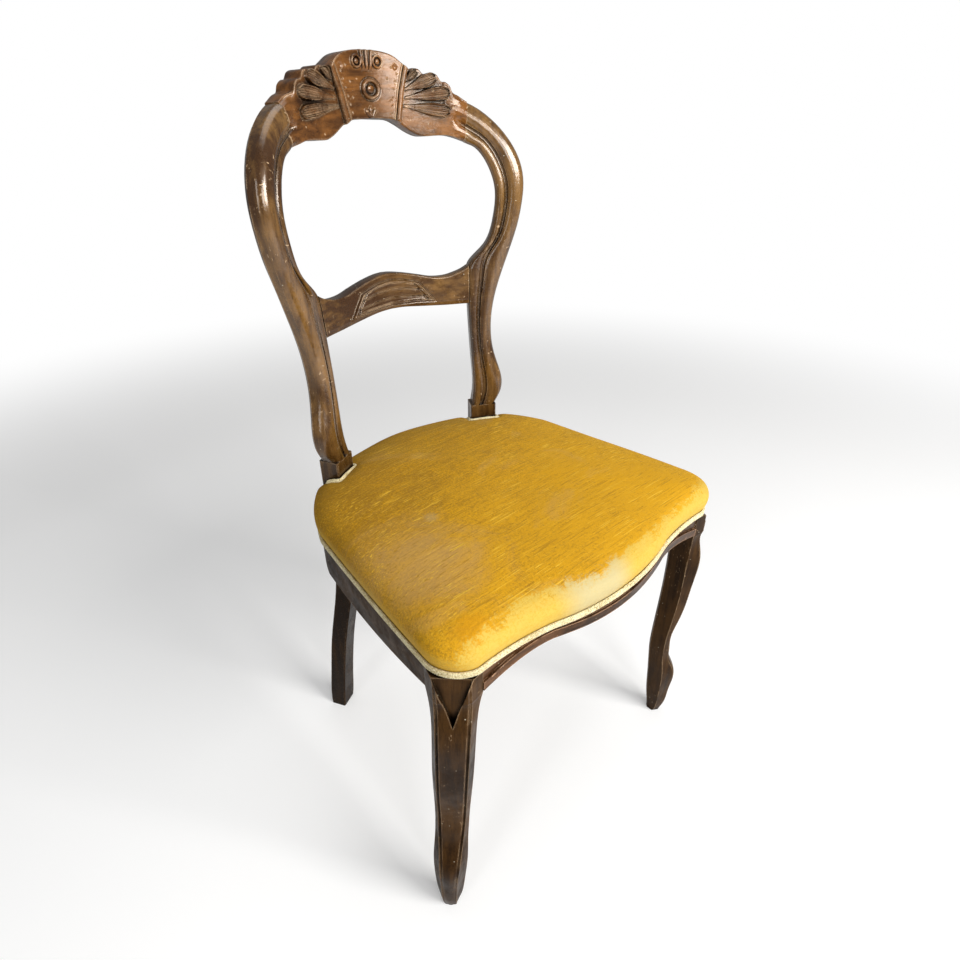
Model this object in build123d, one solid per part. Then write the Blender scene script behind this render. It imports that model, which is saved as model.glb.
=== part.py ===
from build123d import *
import os
from math import asin, cos, hypot, radians, sin, sqrt

os.makedirs("parts", exist_ok=True)

# Balloon back dining chair, in millimetres. X is the sitter's left and right, the front faces -Y, Z is up,
# and the floor is z = 0. Every piece on the right (+X) has a mirrored twin on the left.

# ---------------------------------------------------------------- driving dimensions
crest_top = 929.0            # floor to the top of the carved crest
rail_top = 436.0             # floor to the top of the seat rails
gimp_top = rail_top - 10.0   # where the velvet ends and the braid begins
gimp_width = 8.0
gimp_thickness = 1.6
velvet_under_gimp = 6.0      # how far the velvet runs down behind the braid
side_rail_bottom = rail_top - 51.0   # lower edge at the two ends of a side rail
side_rail_dip = 15.0         # how far that edge hangs lower in the middle
front_rail_bottom = rail_top - 46.0  # lower edge where the front rail meets a leg
front_rail_arch = 13.0       # how far that edge rises away from the leg
back_rail_bottom = front_rail_bottom
rail_thickness = 24.0
rebate_depth = 2.6           # the rails are set in above the braid to take the velvet

front_half_width = 226.0     # seat outline at the back of the front legs
side_back_half_width = 199.0 # seat outline where the side rail begins to turn in
side_back_y = 82.0
front_belly_y = -218.0       # foremost point of the serpentine front rail
front_hollow_y = -196.0      # rearmost point of the serpentine
belly_half_width = 98.0      # where belly and hollow meet
belly_end_y = 0.5 * (front_belly_y + front_hollow_y) + 3.5
corner_x = front_half_width - 30.0   # front end of the rounded corner
leg_back_y = -152.0          # rear face of the front leg's block
leg_inner_x = front_half_width - 36.0  # inner face of the front leg's block

back_radius = 255.0          # plan curve of the hollow back, on its front face
back_front_y = 175.5         # front face of the back on the middle plane at block_top
back_rake = 0.092            # how far the back leans per unit of height, at block_top
back_bow = 0.00005           # how fast that lean eases off
post_angle = 28.8            # where the post stands round the plan curve, in degrees
post_width = 38.5
post_depth = 27.0
block_top = rail_top + 50.0  # the plain block of the post ends in a small step here
block_bottom = rail_top - 64.0

stile_depth = 24.0
crest_depth = 23.0
lower_rail_depth = 20.0

dowel_diameter = 8.0
dowel_length = 36.0
fit_gap = 0.1                # round a glued dowel or a screw
cloth_gap = 0.3              # between soft pieces and their neighbours

velvet_thickness = 2.0
webbing_width = 50.0
webbing_thickness = 1.2
webbing_fold = 24.0          # each end of a web is folded over itself by this much
hessian_thickness = 0.8
tack_head = 6.0
tack_shank = 1.6
tack_length = 9.0
screw_length = 40.0
screw_shank = 4.0
screw_head = 8.0


# The heights in the outlines of the back and the legs are drawn for these, and stretched to the sizes above.
drawn_top = 929.0
drawn_step = 486.0
drawn_leg_head = 388.0
drawn_block_bottom = 372.0

# Bounds well outside the part, for zones that only cut or keep.
zone_bottom = rail_top - 136.0
zone_top = rail_top + 64.0
zone_middle = (zone_bottom + zone_top) / 2
zone_height = zone_top - zone_bottom
zone_front = front_belly_y - 42.0
zone_behind_rail = front_hollow_y + 96.0


# ---------------------------------------------------------------- helpers
def polygon(points):
    """A flat face in space through points given in order."""
    return Face(Wire.make_polygon([Vector(*p) for p in points]))


def edges_to_face(edges):
    return Face(Wire(edges))


def line(a, b):
    return Edge.make_line(a, b)


def arc(a, via, b):
    return Edge.make_three_point_arc(a, via, b)


def back_height(z):
    """A height of the back as drawn below, stretched between the step and the top of the crest."""
    return block_top + (z - drawn_step) * (crest_top - block_top) / (drawn_top - drawn_step)


def upright(points_xz, y_from, y_to):
    """A front-view outline of the back pulled from y_from to y_to."""
    outline = [(x, y_from, back_height(z)) for x, z in points_xz]
    return extrude(polygon(outline), amount=y_to - y_from, dir=(0, 1, 0))


def plan_prism(points_xy, z_from, z_to):
    """A plan outline pulled from z_from up to z_to."""
    return extrude(polygon([(x, y, z_from) for x, y in points_xy]), amount=z_to - z_from, dir=(0, 0, 1))


def mirrored(shape):
    return mirror(shape, about=Plane.YZ)


def save(shape, name):
    export_step(shape, f"parts/{name}.step")


def cylinder_between(a, b, diameter):
    axis = Vector(*b) - Vector(*a)
    plane = Plane(origin=a, z_dir=axis)
    return extrude(plane * Circle(diameter / 2), amount=axis.length)


# ---------------------------------------------------------------- the hollow, raked back
def back_y(z):
    """Front face of the back on the middle plane."""
    h = z - block_top
    return back_front_y + back_rake * h - back_bow * h * h


def back_point(x, z):
    """The point of the back's front face that is seen from the front at x and z."""
    return Vector(x, back_y(z) - back_radius + sqrt(back_radius**2 - x * x), z)


def back_slab(z_middle, front, behind):
    """A curved board that follows the back around z_middle, from front to behind its front face."""
    reach = 160.0
    lean = back_rake - 2 * back_bow * (z_middle - block_top)
    start = Vector(0, back_y(z_middle) - back_radius - lean * reach, z_middle - reach)
    axis = Vector(0, lean, 1)
    plane = Plane(origin=start, x_dir=(1, 0, 0), z_dir=axis)
    outer = extrude(plane * Circle(back_radius + behind), amount=2 * reach)
    inner = extrude(plane * Circle(back_radius + front), amount=2 * reach)
    return outer - inner


# ---------------------------------------------------------------- post frame, seen from above
post_back = Vector(sin(radians(post_angle)), cos(radians(post_angle)), 0)
post_out = Vector(cos(radians(post_angle)), -sin(radians(post_angle)), 0)
post_middle = Vector(0, back_front_y - back_radius, 0) + post_back * back_radius


def post_section(z, sweep, width, depth, chamfer):
    """A section of the post's leg, held at its outer front corner and swept back by sweep."""
    corner = post_middle + post_out * (post_width / 2) + post_back * sweep
    local = [
        (-chamfer, 0), (-(width - chamfer), 0), (-width, chamfer), (-width, depth - chamfer),
        (-(width - chamfer), depth), (-chamfer, depth), (0, depth - chamfer), (0, chamfer),
    ]
    points = [corner + post_out * u + post_back * v for u, v in local]
    return polygon([(p.X, p.Y, z) for p in points])


post_front_outer = post_middle + post_out * (post_width / 2)
post_front_inner = post_middle - post_out * (post_width / 2)
post_back_outer = post_front_outer + post_back * post_depth
post_back_inner = post_front_inner + post_back * post_depth


def post_cutter(margin, z_from, z_to):
    """The post's block with a margin, running on behind the chair, to cut cloth round it."""
    reach = 40.0
    corners = [
        post_front_outer + post_out * margin - post_back * margin,
        post_front_inner - post_out * margin - post_back * margin,
        post_front_inner - post_out * margin + post_back * reach,
        post_front_outer + post_out * margin + post_back * reach,
    ]
    return plan_prism([(p.X, p.Y) for p in corners], z_from, z_to)


# ---------------------------------------------------------------- seat outline, seen from above
rear_radius = back_radius + post_depth
rear_centre_y = back_front_y - back_radius
seat_middle_y = (front_belly_y + rear_centre_y + rear_radius) / 2


def seat_outline(z, grow=0.0, scale=1.0):
    """The seat's outline at height z, grown outwards by grow or scaled about the seat's middle."""
    bx, by = post_back_outer.X, post_back_outer.Y
    belly = (belly_half_width, belly_end_y)
    rear_y = rear_centre_y + rear_radius
    right = [
        ((bx, by), (0.5 * (bx + side_back_half_width) + 4.5, 0.5 * (by + side_back_y) + 3.5),
         (side_back_half_width, side_back_y)),
        ((side_back_half_width, side_back_y),
         (0.5 * (side_back_half_width + front_half_width) + 1.5, 0.5 * (side_back_y + leg_back_y)),
         (front_half_width, leg_back_y)),
        ((front_half_width, leg_back_y), (front_half_width - 8.5, leg_back_y - 31.0),
         (corner_x, front_hollow_y)),
        ((corner_x, front_hollow_y), (0.5 * (corner_x + belly_half_width), front_hollow_y - 0.5), belly),
    ]
    half_x = front_half_width
    half_y = rear_y - seat_middle_y

    def place(p):
        x, y = p[0] * scale, seat_middle_y + (p[1] - seat_middle_y) * scale
        x *= 1 + grow / half_x
        y = seat_middle_y + (y - seat_middle_y) * (1 + grow / half_y)
        return (x, y, z)

    def flip(p):
        return (-p[0], p[1])

    edges = [arc(place((-bx, by)), place((0, rear_y)), place((bx, by)))]
    edges += [arc(place(a), place(m), place(b)) for a, m, b in right]
    edges.append(arc(place(belly), place((0, front_belly_y)), place(flip(belly))))
    edges += [arc(place(flip(b)), place(flip(m)), place(flip(a))) for a, m, b in reversed(right)]
    return edges_to_face(edges)


def seat_prism(z_from, z_to, grow=0.0):
    return extrude(seat_outline(z_from, grow), amount=z_to - z_from, dir=(0, 0, 1))


# ---------------------------------------------------------------- seat rails
frame_bottom = side_rail_bottom - side_rail_dip
gimp_bottom = gimp_top - gimp_width
velvet_bottom = gimp_top - velvet_under_gimp
rebate_bottom = velvet_bottom - 0.5
ring = seat_prism(frame_bottom, rebate_bottom) + seat_prism(rebate_bottom, rail_top, -rebate_depth)
ring -= extrude(offset(seat_outline(frame_bottom - 1), -rail_thickness), amount=200, dir=(0, 0, 1))

leg_block_zone = plan_prism(
    [(leg_inner_x, leg_back_y), (leg_inner_x + 70, leg_back_y), (leg_inner_x + 70, zone_front),
     (leg_inner_x, zone_front)],
    zone_bottom, rail_top + 10,
)
front_zone = Pos(0, front_hollow_y - 4, zone_middle) * Box(2 * leg_inner_x, 160, zone_height)
front_rail = ring & front_zone
# share of the way from the middle to the leg, and how far the lower edge rises there
arch_shares = [(1.005, 0.0), (0.79, 9.0), (0.58, front_rail_arch + 2), (0.315, front_rail_arch)]
arch = [(-share * leg_inner_x, front_rail_bottom + rise) for share, rise in arch_shares]
arch.append((0, front_rail_bottom + front_rail_arch - 2))
arch += [(share * leg_inner_x, front_rail_bottom + rise) for share, rise in reversed(arch_shares)]


def smooth_below(points_xz, floor_z, y_from, y_to):
    """Everything under a smooth front-view curve."""
    curve = Edge.make_spline([Vector(x, y_from, z) for x, z in points_xz])
    first, last = points_xz[0], points_xz[-1]
    down = [
        line((last[0], y_from, last[1]), (last[0], y_from, floor_z)),
        line((last[0], y_from, floor_z), (first[0], y_from, floor_z)),
        line((first[0], y_from, floor_z), (first[0], y_from, first[1])),
    ]
    return extrude(edges_to_face([curve] + down), amount=y_to - y_from, dir=(0, 1, 0))


front_rail -= smooth_below(arch, zone_bottom, zone_front, zone_behind_rail)

# The proud bead that runs along the lower edge of the front rail.
bead_height = 11.0
bead_proud = 3.0
bead_top = [(x, z + bead_height) for x, z in arch]
bead_zone = smooth_below(bead_top, zone_bottom, zone_front, zone_behind_rail)
bead_zone -= smooth_below(arch, zone_bottom, zone_front - 1, zone_behind_rail + 1)
bead = (seat_prism(frame_bottom, rail_top, bead_proud) - seat_prism(frame_bottom, rail_top, -4)) & bead_zone
front_rail += bead & front_zone

side_zone = Pos(200, (leg_back_y + 200) / 2, zone_middle) * Box(200, 200 - leg_back_y, zone_height)
outer_side = plan_prism(
    [
        (post_front_outer.X, post_front_outer.Y), (post_back_outer.X, post_back_outer.Y),
        (post_back_outer.X + 60 * post_back.X, post_back_outer.Y + 60 * post_back.Y),
        (post_back_outer.X - 200, post_back_outer.Y + 60),
        (post_front_outer.X - 200, post_front_outer.Y - 60 * post_back.Y),
        (post_front_outer.X - 60 * post_back.X, post_front_outer.Y - 60 * post_back.Y),
    ],
    zone_bottom, zone_top,
)
side_rail_right = (ring & side_zone) - outer_side
belly_y = 0.5 * (leg_back_y + post_middle.Y)
under_side = edges_to_face([
    arc((100, leg_back_y - 1, side_rail_bottom), (100, belly_y, side_rail_bottom - side_rail_dip),
        (100, 200, side_rail_bottom)),
    line((100, 200, side_rail_bottom), (100, 200, zone_bottom)),
    line((100, 200, zone_bottom), (100, leg_back_y - 1, zone_bottom)),
    line((100, leg_back_y - 1, zone_bottom), (100, leg_back_y - 1, side_rail_bottom)),
])
side_rail_right -= extrude(under_side, amount=200, dir=(1, 0, 0))

inner_half = plan_prism(
    [
        (0, 100), (post_front_inner.X - 60 * post_back.X, post_front_inner.Y - 60 * post_back.Y),
        (post_back_inner.X + 60 * post_back.X, post_back_inner.Y + 60 * post_back.Y), (0, 300),
    ],
    back_rail_bottom, zone_top,
)
back_seat_rail = ring & (inner_half + mirrored(inner_half))
back_seat_rail &= Pos(0, 180, zone_middle) * Box(300, 160, zone_height)


# ---------------------------------------------------------------- front legs
toe_x = front_half_width + 6.0   # reference point on the floor under the right toe
toe_y = leg_back_y - 32.0
diagonal = sqrt(0.5)


def leg_point(z, along, across, shift):
    """A point of the right front leg: along runs out over the corner, across runs square to it."""
    x = toe_x + diagonal * (along - across - shift)
    y = toe_y - diagonal * (along + across + shift)
    return Vector(x, y, z)


def leg_section(z, front, inner, band, half, shift, groove):
    """Front band with a ridge, an edge groove each side, side faces and a squared inner corner."""
    nib = 3.0
    side = inner + half - nib
    half_points = [
        (front - 0.8, band), (front - groove, band + 1.6), (front - 0.45 * groove - 1.0, band + 3.8),
        (side, half), (inner, nib),
    ]
    right = [leg_point(z, a, w, shift) for a, w in half_points]
    left = [leg_point(z, a, -w, shift) for a, w in half_points]
    ridge = leg_point(z, front, 0, shift)
    edges = [arc(left[0], ridge, right[0])]
    edges += [line(right[i], right[i + 1]) for i in range(4)]
    edges.append(line(right[4], left[4]))
    edges += [line(left[i + 1], left[i]) for i in reversed(range(4))]
    return edges_to_face(edges)


# height, front face, inner corner, half the front band, half the width, sideways shift, groove depth
leg_stations = [
    (0.0, -3.0, -22.0, 3.6, 10.0, -2.0, 0.9),
    (12.0, 1.0, -23.0, 4.2, 13.6, -2.0, 1.2),
    (40.0, 5.6, -27.5, 5.4, 17.8, -2.0, 1.6),
    (75.0, 8.3, -31.0, 6.6, 20.3, -1.2, 2.2),
    (96.0, 7.6, -33.0, 8.0, 21.0, -0.4, 3.0),
    (120.0, -1.7, -35.5, 9.8, 20.5, 0.6, 3.8),
    (150.0, -9.3, -38.4, 11.4, 20.0, 2.0, 4.0),
    (181.0, -11.6, -39.0, 12.4, 20.3, 3.2, 4.0),
    (212.0, -7.3, -38.6, 13.0, 21.3, 4.3, 4.0),
    (253.0, -1.8, -38.0, 13.6, 22.7, 5.8, 4.0),
    (297.0, 0.7, -38.2, 14.0, 23.2, 7.5, 4.0),
    (345.0, 1.0, -40.0, 14.6, 23.8, 9.2, 3.6),
]


def leg_head_section(z):
    """The square head of the leg, between the ends of the two rails."""
    nib = 0.5
    head_front = -3.5
    band, groove, shift = 15.6, 2.4, 9.6
    band_edge = [
        (head_front - 0.6, band), (head_front - groove, band + 1.6), (head_front - groove - 0.3, band + 3.4),
    ]
    right = [leg_point(z, a, w, shift) for a, w in band_edge]
    left = [leg_point(z, a, -w, shift) for a, w in band_edge]
    front_end = Vector(leg_inner_x, front_hollow_y - 1.0, z)
    side_end = Vector(front_half_width + 1.5, leg_back_y, z)
    inner_a = Vector(leg_inner_x, leg_back_y - nib, z)
    inner_b = Vector(leg_inner_x + nib, leg_back_y, z)
    ridge = leg_point(z, head_front, 0, shift)
    edges = [arc(left[0], ridge, right[0])]
    path = right + [front_end, inner_a, inner_b, side_end] + list(reversed(left))
    edges += [line(path[i], path[i + 1]) for i in range(len(path) - 1)]
    return edges_to_face(edges)


leg_head_bottom = front_rail_bottom - 2
leg_sections = [leg_section(z * leg_head_bottom / drawn_leg_head, *shape) for z, *shape in leg_stations]
leg_sections.append(leg_head_section(leg_head_bottom))
front_leg_right = loft(leg_sections)
front_leg_right += extrude(leg_head_section(leg_head_bottom), amount=gimp_bottom - leg_head_bottom,
                           dir=(0, 0, 1))
front_leg_right += leg_block_zone & seat_prism(gimp_bottom, rebate_bottom)
front_leg_right += leg_block_zone & seat_prism(rebate_bottom, rail_top, -rebate_depth)

# The sunk V on the knee, its point down.
v_point_z = front_rail_bottom - 36.0
v_half_width = 20.0
v_floor = -9.0
v_corners = [leg_point(gimp_bottom, v_floor, v_half_width, 9.6), leg_point(v_point_z, v_floor, 0, 9.6),
             leg_point(gimp_bottom, v_floor, -v_half_width, 9.6)]
v_cut = extrude(polygon(v_corners), amount=40, dir=(diagonal, -diagonal, 0))
front_leg_right -= v_cut


# ---------------------------------------------------------------- back posts
def stile_section(outer_xz, inner_xz, depth):
    """Broad rounded outer band, a groove, a slimmer inner bead, flat sides and an eased back."""
    a = back_point(outer_xz[0], back_height(outer_xz[1]))
    b = back_point(inner_xz[0], back_height(inner_xz[1]))
    across = b - a
    width = across.length
    u = across / width
    mid_angle = asin(0.5 * (a.X + b.X) / back_radius)
    v = Vector(sin(mid_angle), cos(mid_angle), 0)
    v = (v - u * v.dot(u)).normalized()

    def at(share, deep):
        return a + u * (share * width) + v * deep

    edges = [
        line(at(0.09, depth), at(0.01, depth - 3.5)),
        line(at(0.01, depth - 3.5), at(0, 11.0)),
        arc(at(0, 11.0), at(0.055, 4.4), at(0.20, 0.4)),
        arc(at(0.20, 0.4), at(0.37, -1.3), at(0.55, 1.6)),
        arc(at(0.55, 1.6), at(0.62, 5.0), at(0.69, 2.8)),
        arc(at(0.69, 2.8), at(0.82, 0.5), at(0.95, 3.2)),
        line(at(0.95, 3.2), at(1.0, 8.0)),
        line(at(1.0, 8.0), at(0.98, depth)),
        line(at(0.98, depth), at(0.09, depth)),
    ]
    return edges_to_face(edges)


# outer and inner edge of the stile seen from the front, from the step up to the crest joint
stile_stations = [
    ((139.0, drawn_step), (108.0, drawn_step)),
    ((147.0, 502.0), (110.5, 502.0)),
    ((150.0, 520.0), (112.0, 520.0)),
    ((146.0, 545.0), (112.0, 545.0)),
    ((140.5, 573.0), (112.0, 573.0)),
    ((139.5, 600.0), (112.0, 598.0)),
    ((142.0, 626.0), (112.0, 621.0)),
    ((147.5, 652.0), (112.0, 643.0)),
    ((156.0, 681.0), (112.3, 667.0)),
    ((165.0, 710.0), (114.5, 689.0)),
    ((172.5, 740.0), (135.0, 713.0)),
    ((177.0, 769.0), (146.0, 746.0)),
    ((178.0, 796.0), (149.0, 780.0)),
    ((173.5, 820.0), (143.5, 806.0)),
    ((163.5, 842.0), (135.5, 823.0)),
    ((148.0, 862.0), (127.0, 832.0)),
    ((122.0, 880.0), (118.0, 838.0)),
]
stile = loft([stile_section(outer, inner, stile_depth) for outer, inner in stile_stations])
# height, sweep to the back, width, depth
rear_leg_stations = [
    (0.0, 52.0, 29.0, 24.5), (14.0, 50.5, 31.0, 26.0), (68.0, 44.0, 30.0, 26.0), (133.0, 34.5, 29.0, 26.0),
    (200.0, 21.5, 28.5, 26.0), (245.0, 11.5, 29.0, 26.2), (290.0, 4.0, 31.0, 26.5),
    (330.0, 0.6, 34.5, 26.8), (drawn_block_bottom, 0.0, post_width, post_depth),
]
post_edge = 1.5
rear_leg = loft([post_section(z * block_bottom / drawn_block_bottom, s, w, d, post_edge)
                 for z, s, w, d in rear_leg_stations])
block = extrude(post_section(block_bottom, 0, post_width, post_depth, post_edge),
                amount=block_top - block_bottom, dir=(0, 0, 1))
back_post_right = rear_leg + block + stile


# ---------------------------------------------------------------- crest rail
joint_outer, joint_inner = stile_stations[-1]
crest_joint_low = back_point(joint_inner[0], back_height(joint_inner[1]))
crest_joint_high = back_point(joint_outer[0], back_height(joint_outer[1]))
joint_across = (crest_joint_high - crest_joint_low).normalized()
joint_angle = asin(0.5 * (joint_outer[0] + joint_inner[0]) / back_radius)
joint_depth = Vector(sin(joint_angle), cos(joint_angle), 0)
joint_depth = (joint_depth - joint_across * joint_depth.dot(joint_across)).normalized()
joint_plane = Plane(origin=crest_joint_low, x_dir=joint_depth, z_dir=joint_across.cross(joint_depth))

crest_middle_z = back_height(885.0)
crest_low = [(0, 863.5), (14, 863), (29, 862), (40, 857), (55, 848.5), (66, 844.5), (81, 844.5), (97, 845),
             (110, 841), (124, 836)]
crest_high = [(128, 877.5), (116, 886), (104, 893), (100, 897.5), (91, 902), (86, 906), (73, 909), (62, 913),
              (50, 919), (38, 924.5), (25, 927.5), (0, drawn_top)]


def both_sides(points):
    """A right-hand chain of points followed by its mirror image."""
    return points + [(-x, z) for x, z in reversed(points) if x > 0]


crest_outline = both_sides(crest_low + crest_high)
cove_height = 17.0
cove_depth = 2.5
upper_low = [(x, z + cove_height) for x, z in crest_low]
crest = upright(crest_outline, 40, 300) & back_slab(crest_middle_z, cove_depth, crest_depth)
field = upright(both_sides(upper_low + crest_high), 40, 300)
crest += field & back_slab(crest_middle_z, 0, crest_depth)

cartouche = [(-33, 863.5), (33, 863.5), (40, 880), (47, 905), (44, 917), (30, 926), (0, drawn_top),
             (-30, 926), (-44, 917), (-47, 905), (-40, 880)]
crest += upright(cartouche, 40, 300) & back_slab(crest_middle_z, -3.5, crest_depth - 2)
bar_right = [(30, 862.5), (39, 860), (45.5, 880), (52, 908), (44, 911), (38, 884)]
for bar in (bar_right, [(-x, z) for x, z in bar_right]):
    crest += upright(bar, 40, 300) & back_slab(crest_middle_z, -6, crest_depth - 2)


def ring_boss(x, z, outer_x, outer_z, rim):
    """A raised oval ring on the cartouche."""
    plane = Plane(origin=(x, 40, back_height(z)), x_dir=(1, 0, 0), z_dir=(0, 1, 0))
    outline = plane * (Ellipse(outer_x, outer_z) - Ellipse(outer_x - rim, outer_z - rim))
    return extrude(outline, amount=260) & back_slab(crest_middle_z, -6.5, crest_depth - 2)


crest += ring_boss(0, 892, 13.5, 10.5, 4.5)
crest += ring_boss(-13, 920, 5.0, 4.5, 2.0)
crest += ring_boss(13, 920, 5.0, 4.5, 2.0)


def leaf(base, tip, half_width, proud):
    """One lobe of the carved fan, from its base to its rounded tip."""
    dx, dz = tip[0] - base[0], tip[1] - base[1]
    length = hypot(dx, dz)
    nx, nz = -dz / length * half_width, dx / length * half_width
    middle = (base[0] + 0.6 * dx, base[1] + 0.6 * dz)
    y = 40

    def place(x, z):
        return (x, y, back_height(z))

    side_a = (middle[0] + nx, middle[1] + nz)
    side_b = (middle[0] - nx, middle[1] - nz)
    outline = edges_to_face([
        arc(place(*base), place(*side_a), place(*tip)),
        arc(place(*tip), place(*side_b), place(*base)),
    ])
    return extrude(outline, amount=260, dir=(0, 1, 0)) & back_slab(crest_middle_z, -proud, crest_depth - 2)


leaf_base = (49, 872)
leaves = [((104, 873), 5.5, 2.5), ((110, 884), 5.5, 3.5), ((101, 896), 6.0, 4.5), ((88, 903), 6.0, 3.5),
          ((71, 907), 5.5, 4.5)]
for tip, half_width, proud in leaves:
    for side in (1, -1):
        crest += leaf((side * leaf_base[0], leaf_base[1]), (side * tip[0], tip[1]), half_width, proud)

joint_origin = joint_plane.origin
joint_normal = joint_plane.z_dir
left_joint_plane = Plane(
    origin=(-joint_origin.X, joint_origin.Y, joint_origin.Z),
    x_dir=(-joint_depth.X, joint_depth.Y, joint_depth.Z),
    z_dir=(-joint_normal.X, joint_normal.Y, joint_normal.Z),
)
for plane in (joint_plane, left_joint_plane):
    inside = plane.to_local_coords(Vector(0, plane.origin.Y, plane.origin.Z)).Z
    crest = split(crest, bisect_by=plane, keep=Keep.TOP if inside > 0 else Keep.BOTTOM)


# ---------------------------------------------------------------- lower back rail
lower_middle_z = back_height(665.0)
lower_rail_low = [(0, 646), (20, 645), (46, 642), (66, 640), (88, 638.5), (118, 637.5)]
lower_rail_high = [(118, 690.5), (108, 684), (98, 680), (85, 677), (68, 677.5), (50, 682), (30, 687),
                   (12, 690.5), (0, 691.5)]
lower_back_rail = upright(both_sides(lower_rail_low + lower_rail_high), 40, 300)
lower_back_rail &= back_slab(lower_middle_z, 1.0, lower_rail_depth)
panel = both_sides([(0, 652), (40, 649.5), (65, 647), (45, 674), (20, 680), (0, 682)])
panel_field = both_sides([(0, 656), (38, 653.5), (54, 652), (41, 669.5), (20, 675), (0, 677)])
raised = upright(panel, 40, 300) - upright(panel_field, 39, 301)
lower_back_rail += raised & back_slab(lower_middle_z, -1.6, lower_rail_depth - 2)
lower_back_rail += upright(panel_field, 40, 300) & back_slab(lower_middle_z, -0.4, lower_rail_depth - 2)
lower_back_rail -= stile
lower_back_rail -= mirrored(stile)

# ---------------------------------------------------------------- dowels that hold the joints
def dowel(point, direction, slip=0.0):
    """A dowel centred on point, half in each piece; slip widens and lengthens it into its hole."""
    d = Vector(*direction).normalized()
    half = (dowel_length + 10 * slip) / 2
    a = point - d * half
    b = point + d * half
    return cylinder_between(a, b, dowel_diameter + 2 * slip)


dowel_edge = 15.0
crest_axis = joint_plane.z_dir
crest_spots = [crest_joint_low + joint_across * h + joint_depth * (0.5 * crest_depth) for h in (13.0, 30.0)]
rail_end = back_point(112.0, back_height(663.0)) + post_back * (0.5 * lower_rail_depth)
lower_spots = [rail_end + Vector(0, 0, h) for h in (-13.0, 12.0)]
front_spots = [Vector(leg_inner_x, front_hollow_y + 12, rail_top - drop) for drop in (32.0, 11.0)]
side_front_spots = [Vector(front_half_width - 13, leg_back_y, rail_top - drop) for drop in (37.0, 17.0)]
outer_face_middle = (post_front_outer + post_back_outer) * 0.5
side_back_spots = [Vector(outer_face_middle.X, outer_face_middle.Y, rail_top - drop) for drop in (40.0, 20.0)]
inner_face_middle = (post_front_inner + post_back_inner) * 0.5
back_rail_spots = [Vector(inner_face_middle.X, inner_face_middle.Y, rail_top - drop) for drop in (32.0, 12.0)]
dowel_sets = {
    "crest_dowels": [(p, crest_axis) for p in crest_spots],
    "lower_rail_dowels": [(p, post_out) for p in lower_spots],
    "front_rail_dowels": [(p, (1, 0, 0)) for p in front_spots],
    "side_rail_front_dowels": [(p, (0, 1, 0)) for p in side_front_spots],
    "side_rail_back_dowels": [(p, post_out) for p in side_back_spots],
    "back_seat_rail_dowels": [(p, post_out) for p in back_rail_spots],
}
dowels = {}
holes = {}
for name, spots in dowel_sets.items():
    right_pins = [dowel(p, d) for p, d in spots]
    right_holes = [dowel(p, d, fit_gap) for p, d in spots]
    dowels[name] = right_pins + [mirrored(s) for s in right_pins]
    holes[name] = right_holes + [mirrored(s) for s in right_holes]


def drill(piece, *names):
    for name in names:
        for hole in holes[name]:
            piece -= hole
    return piece


crest = drill(crest, "crest_dowels")
lower_back_rail = drill(lower_back_rail, "lower_rail_dowels")
front_rail = drill(front_rail, "front_rail_dowels")
side_rail_right = drill(side_rail_right, "side_rail_front_dowels", "side_rail_back_dowels")
back_seat_rail = drill(back_seat_rail, "back_seat_rail_dowels")
front_leg_right = drill(front_leg_right, "front_rail_dowels", "side_rail_front_dowels")
back_post_right = drill(back_post_right, "crest_dowels", "lower_rail_dowels", "side_rail_back_dowels",
                        "back_seat_rail_dowels")

# ---------------------------------------------------------------- corner blocks and their screws
block_height = 26.0
corner_block_top = rail_top - 8.0
corner_block_bottom = corner_block_top - block_height
frame_inside = extrude(offset(seat_outline(corner_block_bottom), -rail_thickness), amount=block_height,
                       dir=(0, 0, 1))
front_block_reach = 62.0
front_block_plan = [
    (leg_inner_x + 20, leg_back_y + front_block_reach), (leg_inner_x + 20, leg_back_y),
    (leg_inner_x, leg_back_y), (leg_inner_x, front_hollow_y),
    (leg_inner_x - front_block_reach, front_hollow_y), (leg_inner_x - front_block_reach, leg_back_y - 10),
]
corner_block_front_right = plan_prism(front_block_plan, corner_block_bottom, corner_block_top) & frame_inside
rear_block_plan = [
    (post_front_inner.X - 26 * post_out.X, post_front_inner.Y - 26 * post_out.Y + 30),
    (post_front_inner.X, post_front_inner.Y), (post_front_outer.X, post_front_outer.Y),
    (post_front_outer.X + 26 * post_out.X, post_front_outer.Y + 26 * post_out.Y + 30),
    (post_front_outer.X + 30, post_front_outer.Y - 50), (post_front_inner.X - 50, post_front_inner.Y - 10),
]
corner_block_rear_right = plan_prism(rear_block_plan, corner_block_bottom, corner_block_top) & frame_inside
corner_block_rear_right -= post_cutter(0, zone_bottom, zone_top)


# ---------------------------------------------------------------- screws through the corner blocks
def turned(profile, origin, direction):
    """A turned solid whose axis starts at origin and runs along direction."""
    face = Face(Wire.make_polygon([Vector(r, 0, z) for r, z in profile]))
    return Plane(origin=origin, z_dir=Vector(*direction)) * revolve(face, Axis.Z)


def screw(origin, direction):
    shank = screw_shank / 2
    head = screw_head / 2
    head_height = head - shank + 0.6
    profile = [
        (0, 0), (head, 0), (head, 0.6), (shank, head_height), (shank, screw_length - 4), (0, screw_length),
    ]
    slot = Plane(origin=origin, z_dir=Vector(*direction)) * Box(screw_head + 2, 1.0, 1.6)
    return turned(profile, origin, direction) - slot


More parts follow.
